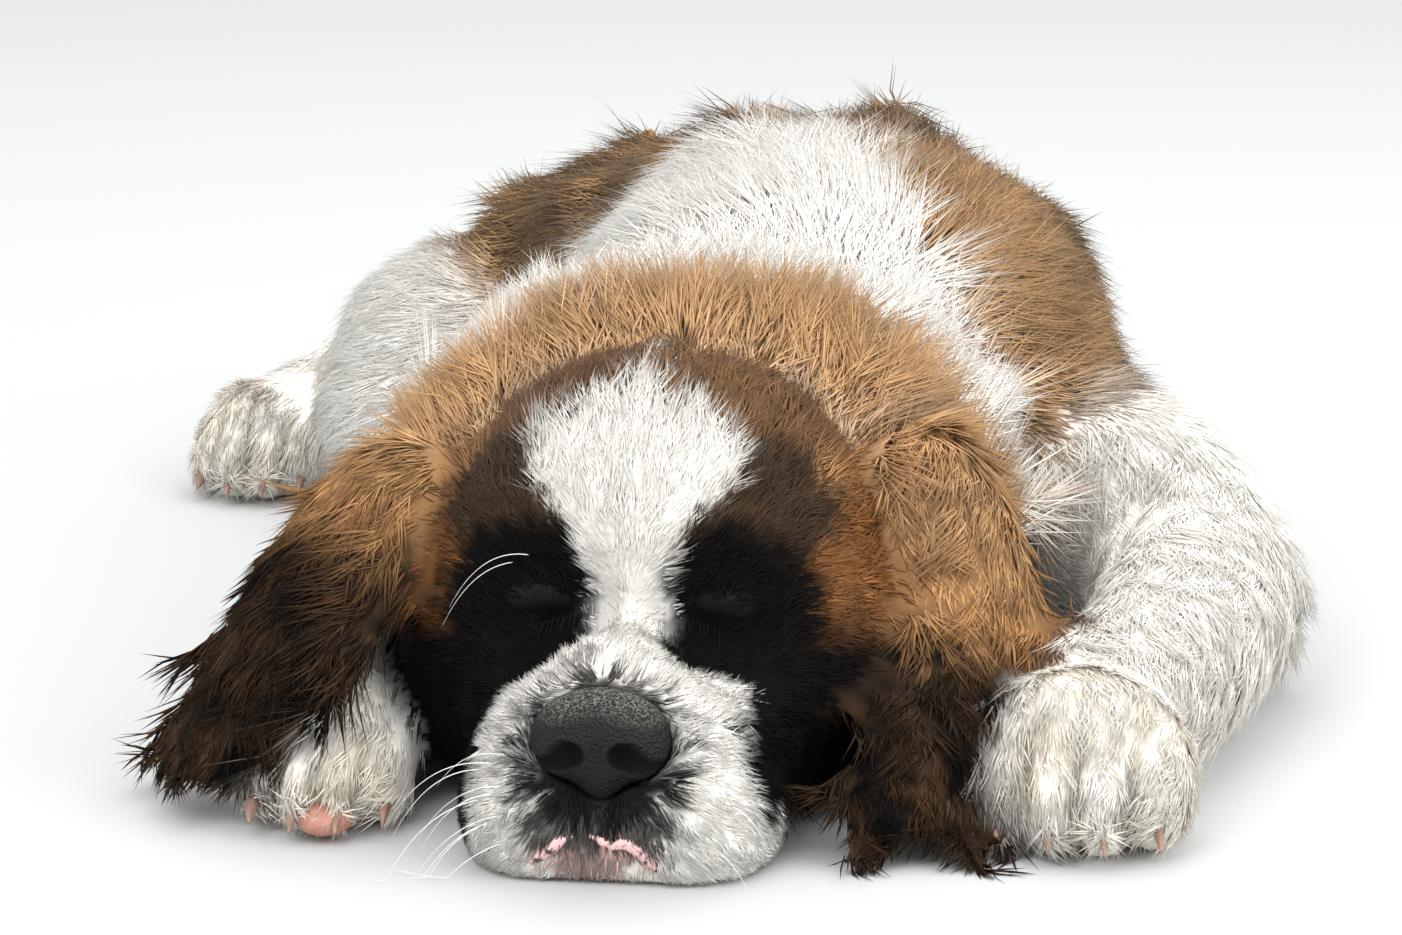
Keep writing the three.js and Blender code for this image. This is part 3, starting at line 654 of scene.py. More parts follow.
def flow_over(points_mm, part):
    """A direction for each point: the sum of each part's own rule, weighted by its share of the point."""
    x, y, z = points_mm.T
    one, none = np.ones_like(x), np.zeros_like(x)
    from_nose = unit(points_mm - head_to_dog([0, -4, 44]))
    from_nose[:, 2] -= 0.35 * smoothstep(20, 60, np.abs(dog_to_head(points_mm)[:, 0])) * fade(90, 120, z)
    fan = unit(points_mm - [-8, 96, 46]) + [0, 0.35, 0]
    down = np.clip((x - np.interp(y, SPINE_Y_MM, SPINE_X_MM)) / 90, -1, 1)
    turn = np.interp(y, SPINE_Y_MM, SPINE_TURN)
    along_back = np.stack([turn + 0.35 * down, one, -0.2 - 0.55 * np.abs(down)], -1)
    to_toes = np.stack([none, -one, -0.25 * one], -1)
    outward = np.where(x > 20, 1, -1)
    shoulder = smoothstep(205, 250, y)[:, None]
    down_leg = np.stack([0.6 * outward, 0.2 * one, -0.8 * one], -1)
    fore = to_toes * (1 - shoulder) + down_leg * shoulder
    hind = np.stack([0.5 * outward, 0.45 * one, -0.75 * one], -1)
    to_tip = [np.interp(x, TAIL_X_MM, [0.3, 1.0]), np.interp(x, TAIL_X_MM, [1.0, 0.1]), -0.3 * one]
    tail = np.stack(to_tip, -1)
    rules = {"head": from_nose, "neck": fan, "trunk": along_back, "paws": to_toes, "tail": tail}
    rules.update(foreleg_left=fore, foreleg_right=fore, hindleg_left=hind, hindleg_right=hind)
    rules.update({name: unit(EAR_TIP_MM[name] - EAR_TOP_MM[name]) for name in EARS})
    return sum(part[name][:, None] * rule for name, rule in rules.items())


def laid_flat(vectors, normals):
    """Takes away what stands off the surface: v - n (n v), then unit length."""
    return unit(vectors - normals * (vectors * normals).sum(-1, keepdims=True))


flow = laid_flat(flow_over(skin_mm, share), normals)
for _ in range(12):
    flow = laid_flat(evened(flow, 1, 0.4), normals)
print("flow on", len(flow), "points")

# %% [markdown]
# How long the hair is, how wide its tufts are, how steeply they rise and how densely they stand all change
# by part. The face has the finest and shortest, the ruff, back and breeches the longest, and the ears hang
# in waves. The lips and lids are nearly bare, the hair under the body is short and flat, and the far end is
# thinned out.

# %% Length, width, rise and density of the coat
both_sides_mm = np.column_stack([np.abs(head_mm[:, 0]), head_mm[:, 1:]])
around_eyes = fade(0.8, 1.5, spot(both_sides_mm, [28, 56, 64], [22, 20, 14]))
on_lids = fade(0.8, 1.2, spot(both_sides_mm, [27, 62, 62], [13, 7, 5]))
on_lips = fade(0.8, 1.2, spot(head_mm, [-2, 4, 9], [17, 12, 6]))
toward_ruff = share["head"] * smoothstep(96, 140, head_mm[:, 1])
ear_ends = sum(
    share[name] * fade(14, 40, np.linalg.norm(skin_mm - EAR_TIP_MM[name], axis=-1)) for name in EARS
)
far_end = 0.75 * smoothstep(330, 420, skin_mm[:, 1]) * (share["trunk"] + share["tail"])
under = smoothstep(0.25, 0.8, -normals[:, 2])

length_mm = by_part(head=17, neck=29, trunk=28, tail=26, legs=18, paws=12, ears=18) - 9.5 * face_share
length_mm += 8 * toward_ruff - 1.0 * around_eyes * face_share
length_mm *= (1 - 0.45 * ear_ends) * (1 - 0.55 * under)
width_mm = by_part(head=0.80, neck=0.85, trunk=0.80, tail=1.4, legs=0.75, paws=0.80, ears=0.95)
width_mm -= 0.20 * face_share
rise = np.radians(by_part(head=30, neck=33, trunk=26, tail=30, legs=21, paws=22, ears=13) - 3 * face_share)
rise *= 1 - 0.6 * under
density = by_part(head=0.66, neck=0.95, trunk=0.88, tail=0.34, legs=0.66, paws=0.58, ears=0.54)
density += 0.7 * face_share
density *= (1 - 0.85 * on_lips) * (1 - 0.7 * on_lids) * (0.35 + 0.65 * (1 - far_end))
density *= 1 - 0.8 * under * fade(4, 20, skin_mm[:, 2])
print("hair from", length_mm.min().round(1), "to", length_mm.max().round(1), "mm long")

# %% [markdown]
# The skin's own unwrap tells every tuft where its colours go when they are baked: each tuft is a tiny patch
# at its root's place on that unwrap. The skin is the coat's colour, with painted shade where the coat is
# dark.

# %% The skin piece and its unwrap
BAKE_MAP, COAT_COLOUR = "OFBake", "coat_colour"
skin = add_mesh("skin", skin_points, skin_faces)
bpy.context.view_layer.objects.active = skin
skin.select_set(True)
skin.data.uv_layers.new(name=BAKE_MAP)
bpy.ops.object.mode_set(mode="EDIT")
bpy.ops.mesh.select_all(action="SELECT")
bpy.ops.uv.smart_project(angle_limit=math.radians(66), island_margin=0.002)
bpy.ops.object.mode_set(mode="OBJECT")
skin_uv = read(skin.data.uv_layers[BAKE_MAP].data, "uv", 2).reshape(-1, 4, 2)


def with_painted_depth_shade(colours, least):
    """Painted shade near the skin, for dark hair: colours times a shade from least up to 1 for the light
    ones.
    """
    return colours * (least + (1 - least) * smoothstep(0.3, 0.8, colours.mean(-1, keepdims=True)))


# The skin that shows between the tufts gets painted shade where the coat is dark.
colour_points(skin, COAT_COLOUR, with_painted_depth_shade(skin_colour, 0.7))
print("unwrap from", skin_uv.min((0, 1)).round(3), "to", skin_uv.max((0, 1)).round(3))

# %% [markdown]
# Strands of hair as curves would not export as a mesh, so the coat is made of tufts: a closed spike with a
# three-cornered section that stands for a few hairs. Roots are drawn by chance over the faces of the skin,
# in proportion to area times density, and take their measures from the skin's four corners round them.

# %% Scatter roots over the skin
TUFTS, SEED = 230000, 9
random = np.random.default_rng(SEED)
a, b, c, d = skin_points[skin_faces].transpose(1, 0, 2)
halves = [np.cross(b - a, c - a), np.cross(c - a, d - a)]
face_area = 0.5 * np.linalg.norm(halves, axis=-1).sum(0)
chance = face_area * density[skin_faces].mean(1)
chosen = np.searchsorted(np.cumsum(chance) / chance.sum(), random.random(TUFTS))
chosen = np.minimum(chosen, len(skin_faces) - 1)
u, v = random.random((2, TUFTS))
corner_weights = np.stack([(1 - u) * (1 - v), u * (1 - v), u * v, (1 - u) * v], -1)


def at_roots(values):
    """A measure of the skin's points at the tufts' roots."""
    weights = corner_weights.reshape(corner_weights.shape + (1,) * (values.ndim - 1))
    return (values[skin_faces[chosen]] * weights).sum(1)


root_points = at_roots(skin_points)
root_normals = unit(at_roots(normals))
root_flow = at_roots(flow)
root_uv = (skin_uv[chosen] * corner_weights[..., None]).sum(1)
root_part = {name: at_roots(value) for name, value in share.items()}
root_length, root_width, root_rise = at_roots(length_mm), at_roots(width_mm), at_roots(rise)
root_mm = to_dog(root_points)
print("tufts", TUFTS, "over", round(face_area.sum(), 3), "square metres")

# %% [markdown]
# A tuft starts under the skin, leaves it at its rise, and bends over until it lies along the flow. Ears and
# tail curl, so theirs has two rings and a tip, ten faces. The rest make do with one ring between two tips,
# six faces, and so two hundred thousand and more can stand close enough to read as fur.

# %% Shape the tufts
SECTION = np.array([[1.0, -0.25], [0.0, 0.45], [-1.0, -0.25]]) * 0.5
SINK_MM, SINK_SHARE = 1.2, 0.1
PATCH = 0.0028
FLOOR_CLEARANCE = 0.0003
RING = np.arange(3)
NEXT = (RING + 1) % 3
LONG_TUFT = {
    "stops": np.array([0.0, 0.5, 1.0]),
    "widths": np.array([0.8, 1.0]),
    "faces": np.concatenate([
        [[0, 2, 1]],
        np.stack([RING, NEXT, NEXT + 3], -1),
        np.stack([RING, NEXT + 3, RING + 3], -1),
        np.stack([np.full(3, 6), RING + 3, NEXT + 3], -1),
    ]),
    "patch": np.array([[0, 0], [0.5, 0], [1, 0], [0, 0.5], [0.5, 0.5], [1, 0.5], [0.5, 1]]) - 0.5,
    "depths": [0, 0, 0, 1, 1, 1, 2],
}
SHORT_TUFT = {
    "stops": np.array([0.35, 0.0, 1.0]),
    "widths": np.array([1.0]),
    "faces": np.concatenate([
        np.stack([np.full(3, 3), NEXT, RING], -1),
        np.stack([np.full(3, 4), RING, NEXT], -1),
    ]),
    "patch": np.array([[0, 0.4], [0.5, 0.4], [1, 0.4], [0.5, 0], [0.5, 1]]) - 0.5,
    "depths": [1, 1, 1, 0, 2],
}


def tuft_points(kind, which):
    """The points of each tuft: p(t) = root - sink n + L ((cos r t + 0.2 t^2) lie + sin r (t - t^2 / 2) n
    + c t^2 side) + t^1.5 pull. Here r is its rise, n the normal, c its curl, and pull the way to the
    middle of its clump."""
    n, way = root_normals[which], root_flow[which]
    side = unit(np.cross(n, way))
    way = unit(way + side * sway[which, None])
    length = root_length[which] * MM * stretch[which]
    angle = (root_rise[which] * steep[which])[:, None, None]
    t = kind["stops"][None, :, None]
    sink = np.minimum(SINK_MM * MM, SINK_SHARE * length)[:, None, None]
    spine = root_points[which][:, None] - n[:, None] * sink + length[:, None, None] * (
        way[:, None] * (np.cos(angle) * t + 0.2 * t ** 2)
        + n[:, None] * np.sin(angle) * (t - 0.5 * t ** 2)
        + side[:, None] * curl[which, None, None] * t ** 2
    )
    spine += t ** 1.5 * root_pull[which][:, None]
    rings = len(kind["widths"])
    half = root_width[which, None, None, None] * MM * kind["widths"][None, :, None, None] * SECTION
    ring = spine[:, :rings, None] + half[..., :1] * side[:, None, None] + half[..., 1:] * n[:, None, None]
    points = np.concatenate([ring.reshape(len(which), -1, 3), spine[:, rings:]], 1)
    points[..., 2] = np.maximum(points[..., 2], FLOOR_CLEARANCE)
    return points


# %% [markdown]
# Hair gathers in clumps. The roots are sorted into warped cells; all the tufts of a cell share most of
# their sway, length and rise, and their tips are drawn towards the middle of the cell. A few guard hairs
# stand longer, thinner and steeper than the rest.

# %% Gather the tufts in clumps
CLUMPED = {
    "head": (6.0, 0.40, 0.8),
    "neck": (7.0, 0.45, 1),
    "trunk": (7.0, 0.45, 1),
    "tail": (9.0, 0.6, 1.2),
    "legs": (6.5, 0.40, 1),
    "paws": (6.0, 0.5, 0.8),
    "ears": (7.0, 0.45, 1.8),
}
GUARD_SHARE, STEEPEST = 0.12, 1.4
groups = list(CLUMPED)
owner = np.stack([root_part[name] for name in groups], -1).argmax(-1)
cell_mm, drawn, curled = np.array(list(CLUMPED.values()))[owner].T
at_face = at_roots(face_share) > 0.5
cell_mm = cell_mm - 2.4 * at_face
warped = root_mm / cell_mm[:, None] + 0.6 * np.stack([ripples(root_mm, 17, 60 + k) for k in range(3)], -1)
cells = np.column_stack([np.floor(warped).astype(int), owner, at_face])
_, clump = np.unique(cells, axis=0, return_inverse=True)
clump = clump.ravel()
clump_size = np.bincount(clump)
clump_middle = np.stack([np.bincount(clump, root_points[:, k]) for k in range(3)], -1) / clump_size[:, None]
pull = drawn * random.uniform(0.4, 1.1, TUFTS)
root_pull = pull[:, None] * (clump_middle[clump] - root_points)
root_pull -= 0.7 * root_normals * (root_pull * root_normals).sum(-1, keepdims=True)

bare_groups = [groups.index("paws"), groups.index("ears")]
guard = (random.random(TUFTS) < GUARD_SHARE) & ~np.isin(owner, bare_groups) & ~at_face


def wander(of_clump, of_tuft):
    """Normal chances with one spread for the clumps and another for their tufts, added up."""
    return of_clump * random.normal(0, 1, len(clump_size))[clump] + of_tuft * random.normal(0, 1, TUFTS)


def scaled(of_clump, of_tuft, of_guard):
    """Even chances for the clumps and for their tufts, multiplied, and more for guard hairs."""
    for_clump = random.uniform(*of_clump, len(clump_size))[clump]
    return for_clump * random.uniform(*of_tuft, TUFTS) * np.where(guard, of_guard, 1)


sway = wander(0.26, 0.14)
stretch = scaled((0.86, 1.10), (0.80, 1.12), 1.22)
steep = np.minimum(scaled((0.75, 1.2), (0.75, 1.2), 1.25), STEEPEST)
curl = wander(0.16, 0.08) * curled
root_width *= np.where(guard, 0.6, 1) * random.uniform(0.8, 1.15, TUFTS)
root_colour, tip_colour = markings(root_mm, root_part)
variety = np.clip(1.5 - 1.5 * root_colour.mean(-1), 0.08, 1)
tone = (1 + variety * wander(0.10, 0.10))[:, None]
print("clumps", len(clump_size), "tufts on average", root_length.mean().round(1), "mm long")

# %% [markdown]
# The coat is divided by part, and the long stretches once more, so that no piece is too heavy to handle.
# One finish serves them all: it reads the colour stored on each point, and a fine noise darkens single
# strands.

# %% Coat pieces
def speckle(finish, noise, amount, dark):
    """The points' own colour, times a darker grey where the noise is high."""
    own = finish.attribute(COAT_COLOUR)
    darker = finish.mix(1.0, own, dark, "MULTIPLY")
    finish.drive("Base Color", finish.mix((noise * amount).clip(), own, darker))


coat = Finish("coat", Roughness=0.7, Specular_IOR_Level=0.08)
speckle(coat, coat.noise(900, 2), 0.5, (0.86, 0.85, 0.84, 1))
TRIANGLES_PER_PIECE = 190000
CURLED_GROUPS = ("ears", "tail")


def add_coat(name, kind, which):
    """One piece of the coat from the tufts picked by index."""
    points = tuft_points(kind, which)
    count, corners = points.shape[:2]
    faces = (kind["faces"][None] + corners * np.arange(count)[:, None, None]).reshape(-1, 3)
    piece = add_mesh(name, points.reshape(-1, 3), faces)
    root, tip = root_colour[which] * tone[which], tip_colour[which] * tone[which]
    # The buried end of each tuft is painted in shade, the more so for dark hair.
    shade = with_painted_depth_shade(root_colour[which], 0.62) * tone[which]
    stages = np.stack([shade, 0.5 * root + 0.5 * tip, tip], 1)
    colour_points(piece, COAT_COLOUR, np.clip(stages[:, kind["depths"]].reshape(-1, 3), 0, 0.95))
    uv = (root_uv[which, None] + PATCH * kind["patch"]).reshape(-1, 2)[faces.ravel()]
    piece.data.uv_layers.new(name=BAKE_MAP).data.foreach_set("uv", uv.astype(np.float32).ravel())
    dress(piece, coat)


total = 0
for index, name in enumerate(groups):
    kind = LONG_TUFT if name in CURLED_GROUPS else SHORT_TUFT
    which = np.flatnonzero(owner == index)
    which = which[np.argsort(root_mm[which, 1], kind="stable")]
    batches = np.array_split(which, len(which) * len(kind["faces"]) // TRIANGLES_PER_PIECE + 1)
    for number, batch in enumerate(batches, 1):
        add_coat(f"coat_{name}_{number}", kind, batch)
    total += len(which) * len(kind["faces"])
    print(name, len(which), "tufts")

# %% [markdown]
# The skin shows only where the tufts part. It has the same colours, mottled more coarsely, and a fine bump
# that reads as short under-hair. It stands for every solid of flesh.

# %% The skin's finish
hide = Finish("skin", Roughness=0.8, Specular_IOR_Level=0.05)
grain = hide.noise(700, 4)
speckle(hide, grain, 0.6, (0.84, 0.83, 0.82, 1))
hide.bump(grain, 0.0006, 0.7)
dress(skin, hide, FLESH)
print("coat of", total, "triangles over", len(skin_faces) * 2, "triangles of skin")

# %% [markdown]
# Nose, lids and toe pad are leathery skin with no hair, and each is a rounded form pressed and pierced by
# others. Such a form is quickest as a field, negative inside: rays from one point inside find its surface
# by halving, all at once in one array, and the points make a grid with a pole at each end.

# %% Rounded forms from fields
def ball_field(centre, radii, turn=0.0):
    """An ellipsoid: distance is about q (q - 1) / |gradient of q|, with q the length of (p - c) / r."""
    centre, radii = np.array(centre, float), np.array(radii, float)

    def field(p):
        x, y, z = np.moveaxis(p - centre, -1, 0)
        local = np.stack([*turned(x, y, -turn), z], -1) / radii
        q = np.linalg.norm(local, axis=-1)
        return q * (q - 1) / np.maximum(np.linalg.norm(local / radii, axis=-1), 1e-6)

    return field


def tube_field(*stops):
    """A chain of round cones through stops (x, y, z, radius): the least way to an axis less its radius."""
    stops = np.array(stops, float)

    def field(p):
        best = np.full(p.shape[:-1], np.inf)
        for a, b in zip(stops[:-1], stops[1:]):
            along = b[:3] - a[:3]
            t = np.clip(((p - a[:3]) @ along) / (along @ along), 0, 1)
            away = np.linalg.norm(p - a[:3] - t[..., None] * along, axis=-1)
            best = np.minimum(best, away - (a[3] + (b[3] - a[3]) * t))
        return best

    return field


def merged(k, *fields):
    """The union of fields, filleted over the width k: min(d, e) - h^2 k / 4."""
    def field(p):
        d = fields[0](p)
        for other in fields[1:]:
            e = other(p)
            h = np.maximum(k - np.abs(d - e), 0) / k
            d = np.minimum(d, e) - h * h * k / 4
        return d

    return field


def pressed(k, body, tool):
    """The body with the tool pressed into it, its rim rounded over k: max(d, -e) + h^2 k / 4."""
    def field(p):
        d, e = body(p), -tool(p)
        h = np.maximum(k - np.abs(d - e), 0) / k
        return np.maximum(d, e) + h * h * k / 4

    return field


def ray_wrap(field, centre, rows, columns, reach, steps=40, halvings=16):
    """Points on a surface: rays in all directions round -back step out, then halve down to it."""
    polar = np.pi * (np.arange(rows) + 0.5) / rows
    polar, turn = np.meshgrid(polar, 2 * np.pi * np.arange(columns) / columns, indexing="ij")
    ways = np.stack([np.sin(polar) * np.cos(turn), -np.cos(polar), np.sin(polar) * np.sin(turn)], -1)
    far = np.full((rows, columns), np.nan)
    for step in np.linspace(0, reach, steps)[1:]:
        far = np.where(np.isnan(far) & (field(centre + ways * step) > 0), step, far)
    far = np.where(np.isnan(far), reach, far)
    near = far - reach / (steps - 1)
    for _ in range(halvings):
        middle = (near + far) / 2
        inside = field(centre + ways * middle[..., None]) < 0
        near, far = np.where(inside, middle, near), np.where(inside, far, middle)
    return centre + ways * far[..., None]


def close_grid(points):
    """Triangles over a grid closed round its columns, with a point, the end row's mean, at each end."""
    rows, columns = points.shape[:2]
    flat = np.concatenate([points.reshape(-1, 3), points[:1].mean(1), points[-1:].mean(1)])
    r, c = np.meshgrid(np.arange(rows - 1) * columns, np.arange(columns), indexing="ij")
    after = (c + 1) % columns
    quads = np.stack([r + c, r + after, r + columns + after, r + columns + c], -1).reshape(-1, 4)
    k, n = c[0], after[0]
    start = np.stack([np.full(columns, rows * columns), n, k], -1)
    last = (rows - 1) * columns
    end = np.stack([np.full(columns, rows * columns + 1), last + k, last + n], -1)
    return flat, np.concatenate([quads[:, [0, 1, 2]], quads[:, [0, 2, 3]], start, end])


# %% [markdown]
# The nose leather is a broad pad with two swollen wings, a groove down its middle and two comma-shaped
# nostrils that curl to slits at the sides. It is black, grey on top where it is a little worn and where a
# highlight is painted, and covered in fine pebbles. Inside the nostrils it is dull, and painted black as
# shade by a mask stored on the points.

# %% Nose leather
NOSE_WIDTH_MM, NOSE_HEIGHT_MM = 36.5, 29
middle = NOSE_TIP_MM[2]
nose_form = merged(
    5,
    ball_field([0, 10, middle + 3], [NOSE_WIDTH_MM / 2, 11, NOSE_HEIGHT_MM / 2 - 2]),
    ball_field([9.5, 8, middle], [9.5, 8.5, 9.5]),
    ball_field([-9.5, 8, middle], [9.5, 8.5, 9.5]),
    ball_field([0, 9, middle - 7], [7, 7.5, 9]),
)
groove = tube_field([0, -1.6, middle + 2, 0.7], [0, -0.5, middle - 16, 1.2])
nose_form = pressed(1.4, nose_form, groove)
nostrils = [
    tube_field(
        [s * 7.4, 0.2, middle - 0.8, 3.7],
        [s * 12.6, 1.6, middle - 4.4, 2.3],
        [s * 18.4, 5.5, middle - 5, 1.3],
    )
    for s in (-1, 1)
]
for nostril in nostrils:
    nose_form = pressed(1.6, nose_form, nostril)
nose_points, nose_faces = close_grid(ray_wrap(nose_form, np.array([0, 12.5, middle]), 110, 150, 30))
nose_piece = add_mesh("nose_leather", to_frame(head_to_dog(nose_points)), nose_faces)
# Painted shade inside the nostrils, kept as a mask on the points.
nostril_shade = fade(0.1, 1.4, np.minimum(nostrils[0](nose_points), nostrils[1](nose_points)))
colour_points(nose_piece, "nostril_shade", np.repeat(nostril_shade[:, None], 3, 1))

leather = Finish("nose leather", Roughness=0.5, Specular_IOR_Level=0.22)
cells = {"Vector": leather.place(), "Scale": 1100.0}
pebbles = leather.node("ShaderNodeTexVoronoi", {"feature": "F1"}, cells, "Distance")
facing = leather.node("ShaderNodeTexCoord", {}, {}, "Normal")
upward = leather.node("ShaderNodeSeparateXYZ", {}, {"Vector": facing}, "Z")
# The grey top is partly wear and partly a painted highlight on the faces that point up.
worn_and_highlit_top = ((upward * 2.4 - 1.0).clip() * (leather.noise(1500, 3) * 8 - 3.7).clip() * 0.65).clip()
in_nostril_shade = leather.attribute("nostril_shade", "Fac")
surface = leather.mix(worn_and_highlit_top * (1 - in_nostril_shade), rgba(17, 16, 17), rgba(128, 124, 114))
# The nostrils are painted near black as shade.
leather.drive("Base Color", leather.mix(in_nostril_shade, surface, (0.0006, 0.0006, 0.0006, 1)))
leather.drive("Roughness", worn_and_highlit_top * 0.25 + in_nostril_shade * 0.4 + 0.42)
leather.bump(pebbles, 0.0006, 1.0)
dress(nose_piece, leather, ["nose"])
print("nose", len(nose_faces), "faces")

# %% [markdown]
# The eyes are shut. The upper lid comes down over the round of the eyeball and meets the lower lid in one
# slanting crease. Two balls are merged and a thin tube is pressed in along the crease, the same on both
# sides.

# %% Closed eyelids
def crease(s, t, up):
    """Where the lids meet, from the inner corner at t = 0 to the outer one at t = 1, in the head's axes."""
    return [s * (12.5 + 28 * t), 60.5 + 3 * t + 11 * t * t, up - 7 * t - 2 * np.sin(np.pi * t)]


lid = Finish("eyelid skin", Roughness=0.55, Specular_IOR_Level=0.12)
wrinkle = lid.noise(420, 4)
lid.drive("Base Color", lid.mix(wrinkle, rgba(6, 5, 5), rgba(18, 16, 15)))
lid.bump(wrinkle, 0.0005, 0.6)
for s, name in ((-1, "eyelid_right"), (1, "eyelid_left")):
    upper = ball_field([s * 26.5, 71, 66.5], [15, 9.2, 8], s * -26)
    lower = ball_field([s * 27, 72, 59.5], [14, 8.4, 5.5], s * -26)
    slit = tube_field(*([*crease(s, t, 65.5), 0.55] for t in np.linspace(0, 1, 7)))
    lid_form = pressed(1.2, merged(2.4, upper, lower), slit)
    grid = ray_wrap(lid_form, np.array([s * 26.8, 74.0, 63]), 56, 96, 26)
    points, faces = close_grid(head_to_dog(grid))
    dress(add_mesh(name + "_skin", to_frame(points), faces), lid, [name])
print("lids made")

# %% [markdown]
# Claws, lips, whiskers and lashes are tapered tubes, many of each and alike but for their sizes, so one
# function makes a whole set as one piece: rings square to each path, with a point at both ends.

# %% Tubes along paths
def tubes(paths, radii, sides):
    """Ring points = path + radius (cos a side + sin a top), with side and top square to the path."""
    along = unit(np.gradient(paths, axis=1))
    side = unit(np.cross(along, [0.0, 0.0, 1.0]) + 1e-6)
    top = np.cross(side, along)
    angle = 2 * np.pi * np.arange(sides) / sides
    ring = np.cos(angle)[:, None] * side[:, :, None] + np.sin(angle)[:, None] * top[:, :, None]
    grids = paths[:, :, None] + ring * radii[:, :, None, None]
    closed = [close_grid(grid) for grid in grids]
    points = np.concatenate([flat for flat, _ in closed])
    faces = np.concatenate([faces[:, ::-1] + k * len(flat) for k, (flat, faces) in enumerate(closed)])
    return points, faces


# %% [markdown]
# The claws are blunt little hooks of horn, brown-pink, with fine lines along them. Each is drawn inside the
# box of its solid: it leaves the toe level, and drops faster towards the tip while it thins.

# %% Claws
horn = Finish("claw", Roughness=0.38, Coat_Weight=0.1)
squeezed = horn.node("ShaderNodeMapping", {}, {"Vector": horn.place(), "Scale": (1, 0.15, 1)})
layers = horn.noise(500, 3, squeezed)
horn.drive("Base Color", horn.mix(layers, rgba(176, 140, 122), rgba(96, 74, 66)))
horn.bump(layers, 0.0002, 0.5)
CLAW_STOPS = np.linspace(0, 1, 9)
for paw in PAWS:
    claw_names = [f"{paw}_claw_{k}" for k in range(1, 5)]
    boxes = np.array([[list(corner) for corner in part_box(name)] for name in claw_names])
    low, high = boxes[:, 0], boxes[:, 1]
    wide, deep, tall = (high - low).T[..., None]
    radius = wide * 0.42
    path = np.stack([
        (low[:, :1] + high[:, :1]) / 2 + 0 * CLAW_STOPS,
        high[:, 1:2] - radius * 0.6 - (deep - radius * 0.9) * CLAW_STOPS,
        high[:, 2:] - radius - (tall - 2 * radius) * CLAW_STOPS ** 1.7,
    ], -1)
    points, faces = tubes(path, radius * (1 - 0.82 * CLAW_STOPS ** 1.4), 10)
    dress(add_mesh(f"{paw}_claws", points, faces), horn, claw_names)
print("claws on", len(PAWS), "paws")

# %% [markdown]
# The upper lip's bare edge shows as two pink lobes that part under the nose. Each is a soft tube seated on
# the muzzle's own surface: the front-most skin near a place gives its depth. One toe pad shows under the
# right paw.

# %% Lips and toe pad
def front_of_muzzle(side, up):
    """How far back the muzzle's surface lies at a place on its front, in millimetres."""
    near = np.hypot(head_mm[:, 0] - side, head_mm[:, 2] - up) < 2.6
    return head_mm[near, 1].min()


def bent_path(stops, count=24):
    """A smooth path of (side, back, up, radius) through a few stops, by repeated corner cutting."""
    path = np.asarray(stops, float)
    for _ in range(4):
        cut = np.stack([0.75 * path[:-1] + 0.25 * path[1:], 0.25 * path[:-1] + 0.75 * path[1:]], 1)
        path = np.concatenate([path[:1], cut.reshape(-1, 4), path[-1:]])
    pick = np.linspace(0, len(path) - 1, count)
    return np.stack([np.interp(pick, np.arange(len(path)), path[:, k]) for k in range(4)], -1)


lip = Finish("lip", Roughness=0.36, Coat_Weight=0.25, Coat_Roughness=0.25, Specular_IOR_Level=0.4)
spotted = (lip.noise(330, 2) * 9 - 4.7).clip()
lip.drive("Base Color", lip.mix(spotted, rgba(222, 182, 180), rgba(60, 50, 52)))
lip.bump(lip.noise(900, 3), 0.0003, 0.5)
LIP_RIGHT = [(-7.5, 15.0, 0.8), (-9.5, 14.0, 1.9), (-13, 12.0, 2.5), (-16.5, 9.0, 2.4), (-20, 6.5, 1.0)]
LIP_LEFT = [
    (-3.0, 15.0, 0.8), (0, 13.6, 1.7), (3, 11.6, 1.5), (7, 13.2, 2.1), (11, 11.2, 2.6), (14, 8.0, 2.2),
    (16.5, 5.0, 0.9),
]
lobes = np.array([
    bent_path([(side, front_of_muzzle(side, up) + 0.5 * radius, up, radius) for side, up, radius in stops])
    for stops in (LIP_RIGHT, LIP_LEFT)
])
points, faces = tubes(to_frame(head_to_dog(lobes[..., :3])), lobes[..., 3] * MM, 12)
dress(add_mesh("lips", points, faces), lip)

PAD_MM = np.array([-109, 45.5, 6.2])
pad = Finish("toe pad", Roughness=0.6)
pad.drive("Base Color", pad.mix(pad.noise(400, 4), rgba(206, 150, 132), rgba(150, 100, 88)))
pad.bump(pad.noise(1100, 3), 0.0003, 0.7)
points, faces = close_grid(ray_wrap(ball_field(PAD_MM, [8.5, 7.5, 4.8]), PAD_MM, 24, 36, 12))
dress(add_mesh("toe_pad", to_frame(points), faces), pad)
print("lips and toe pad made")

# %% [markdown]
# Whiskers grow in rows from the muzzle and sweep back and down, and two long ones stand over the right eye.
# Each is a tapered thread whose path starts on the skin and bends under its own weight.

# %% Whiskers
WHISKER_RADIUS = 0.00016
THREAD = np.linspace(0, 1, 16)[:, None]


def add_threads(name, paths, root_radius, finish):
    """One piece of threads from paths in the head's axes, thinning to a fifth at the tip."""
    radii = root_radius * (1 - 0.8 * THREAD[:, 0]) * np.ones((len(paths), 1))
    points, faces = tubes(to_frame(head_to_dog(np.array(paths))), radii, 5)
    dress(add_mesh(name, points, faces), finish)
    print(name, len(paths))


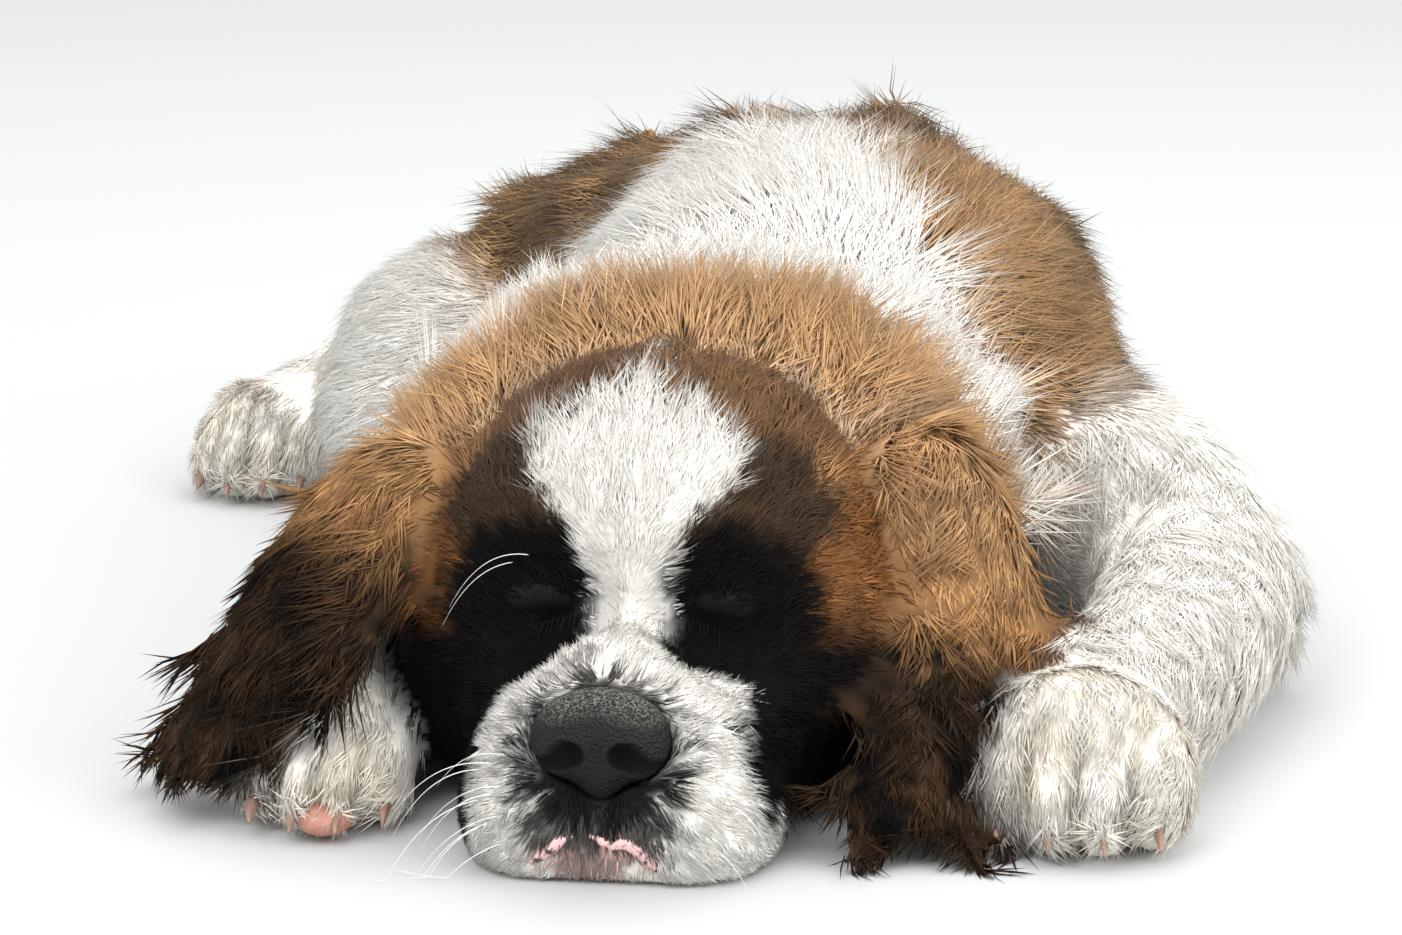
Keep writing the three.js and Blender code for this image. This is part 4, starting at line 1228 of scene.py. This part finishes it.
whiskers = []
for s, rows in ((-1, 10), (1, 5)):
    for k in range(rows):
        down = k / (rows - 1)
        side = s * (26 + 4 * (k % 3)) + 2 * (s > 0)
        length = (26 + 5 * ((k * 7) % 4)) if s < 0 else (10 + 3 * (k % 3))
        whiskers.append((side, 36 - 24 * down, s * 0.9, 0.25 + 0.2 * (k % 3), 0.34 - 0.55 * down, length))
whiskers += [(-29, 79, -0.9, 0.6, 0.35, 34), (-33, 77, -1.0, 0.6, 0.1, 30)]
paths = []
for side, up, out, forward, lift, length in whiskers:
    start = np.array([side, front_of_muzzle(side, up) + 1.0, up])
    way = unit(np.array([out, -forward, lift]))
    path = start + length * (way * THREAD + np.array([-0.10 * out, 0.35, -0.75]) * THREAD ** 2)
    path[:, 2] = np.maximum(path[:, 2], 1.0)
    paths.append(path)
whisker = Finish("whisker", Roughness=0.35, Base_Color=(0.86, 0.85, 0.83, 1))
add_threads("whiskers", paths, WHISKER_RADIUS, whisker)

# %% [markdown]
# Short dark lashes hang from the crease of each closed eye, a little apart in length and direction.

# %% Lashes
LASH_MM, LASH_RADIUS = 5.5, 0.00018
paths = []
for s in (-1, 1):
    for place in np.linspace(0.12, 0.95, 18):
        way = np.array([s * (0.5 * place - 0.1) + random.normal(0, 0.2), -0.9, -0.5 + random.normal(0, 0.15)])
        length = LASH_MM * random.uniform(0.6, 1.1)
        hang = np.array([0, -0.1, -0.35])
        paths.append(np.array(crease(s, place, 65)) + length * (way * THREAD + hang * THREAD ** 2))
lash = Finish("lash", Roughness=0.5, Base_Color=(0.004, 0.0035, 0.003, 1), Specular_IOR_Level=0.2)
add_threads("lashes", paths, LASH_RADIUS, lash)

# %% [markdown]
# The studio is a sheet of pale paper under three large soft boxes, in a bright even room, so that the white
# fur keeps its shape and the shadows stay faint. The room gives most of the light, because fur shades
# itself.

# %% Studio
floor = add_mesh("floor", [[-9, -9, 0], [9, -9, 0], [9, 9, 0], [-9, 9, 0]], [[0, 1, 2, 3]])
paper = Finish("paper", Roughness=0.9, Specular_IOR_Level=0.1, Base_Color=rgba(190, 192, 192))
floor.data.materials.append(paper.material)


def area_light(name, place, aim, size, power):
    """A square soft box that points from its place to its aim."""
    light = bpy.data.objects.new(name, bpy.data.lights.new(name, "AREA"))
    light.data.size, light.data.energy = size, power
    light.location = place
    x, y, z = np.array(aim, float) - np.array(place, float)
    light.rotation_euler = (math.atan2(math.hypot(x, y), -z), 0, math.atan2(y, x) - math.pi / 2)
    bpy.context.scene.collection.objects.link(light)


area_light("key", (-0.9, -1.3, 1.7), (0, 0, 0.08), 1.4, 16)
area_light("fill", (1.5, -0.9, 1.0), (0, 0, 0.08), 1.6, 18)
area_light("top", (0.2, 0.6, 2.0), (0, 0, 0.05), 1.8, 12)
ROOM_LIGHT, EXPOSURE = 0.93, 0.45
world = bpy.data.worlds.new("studio")
world.use_nodes = True
world.node_tree.nodes["Background"].inputs["Color"].default_value = (1, 1, 1, 1)
world.node_tree.nodes["Background"].inputs["Strength"].default_value = ROOM_LIGHT
bpy.context.scene.world = world
bpy.context.scene.view_settings.view_transform = "Standard"
bpy.context.scene.view_settings.exposure = EXPOSURE
print("studio lit")
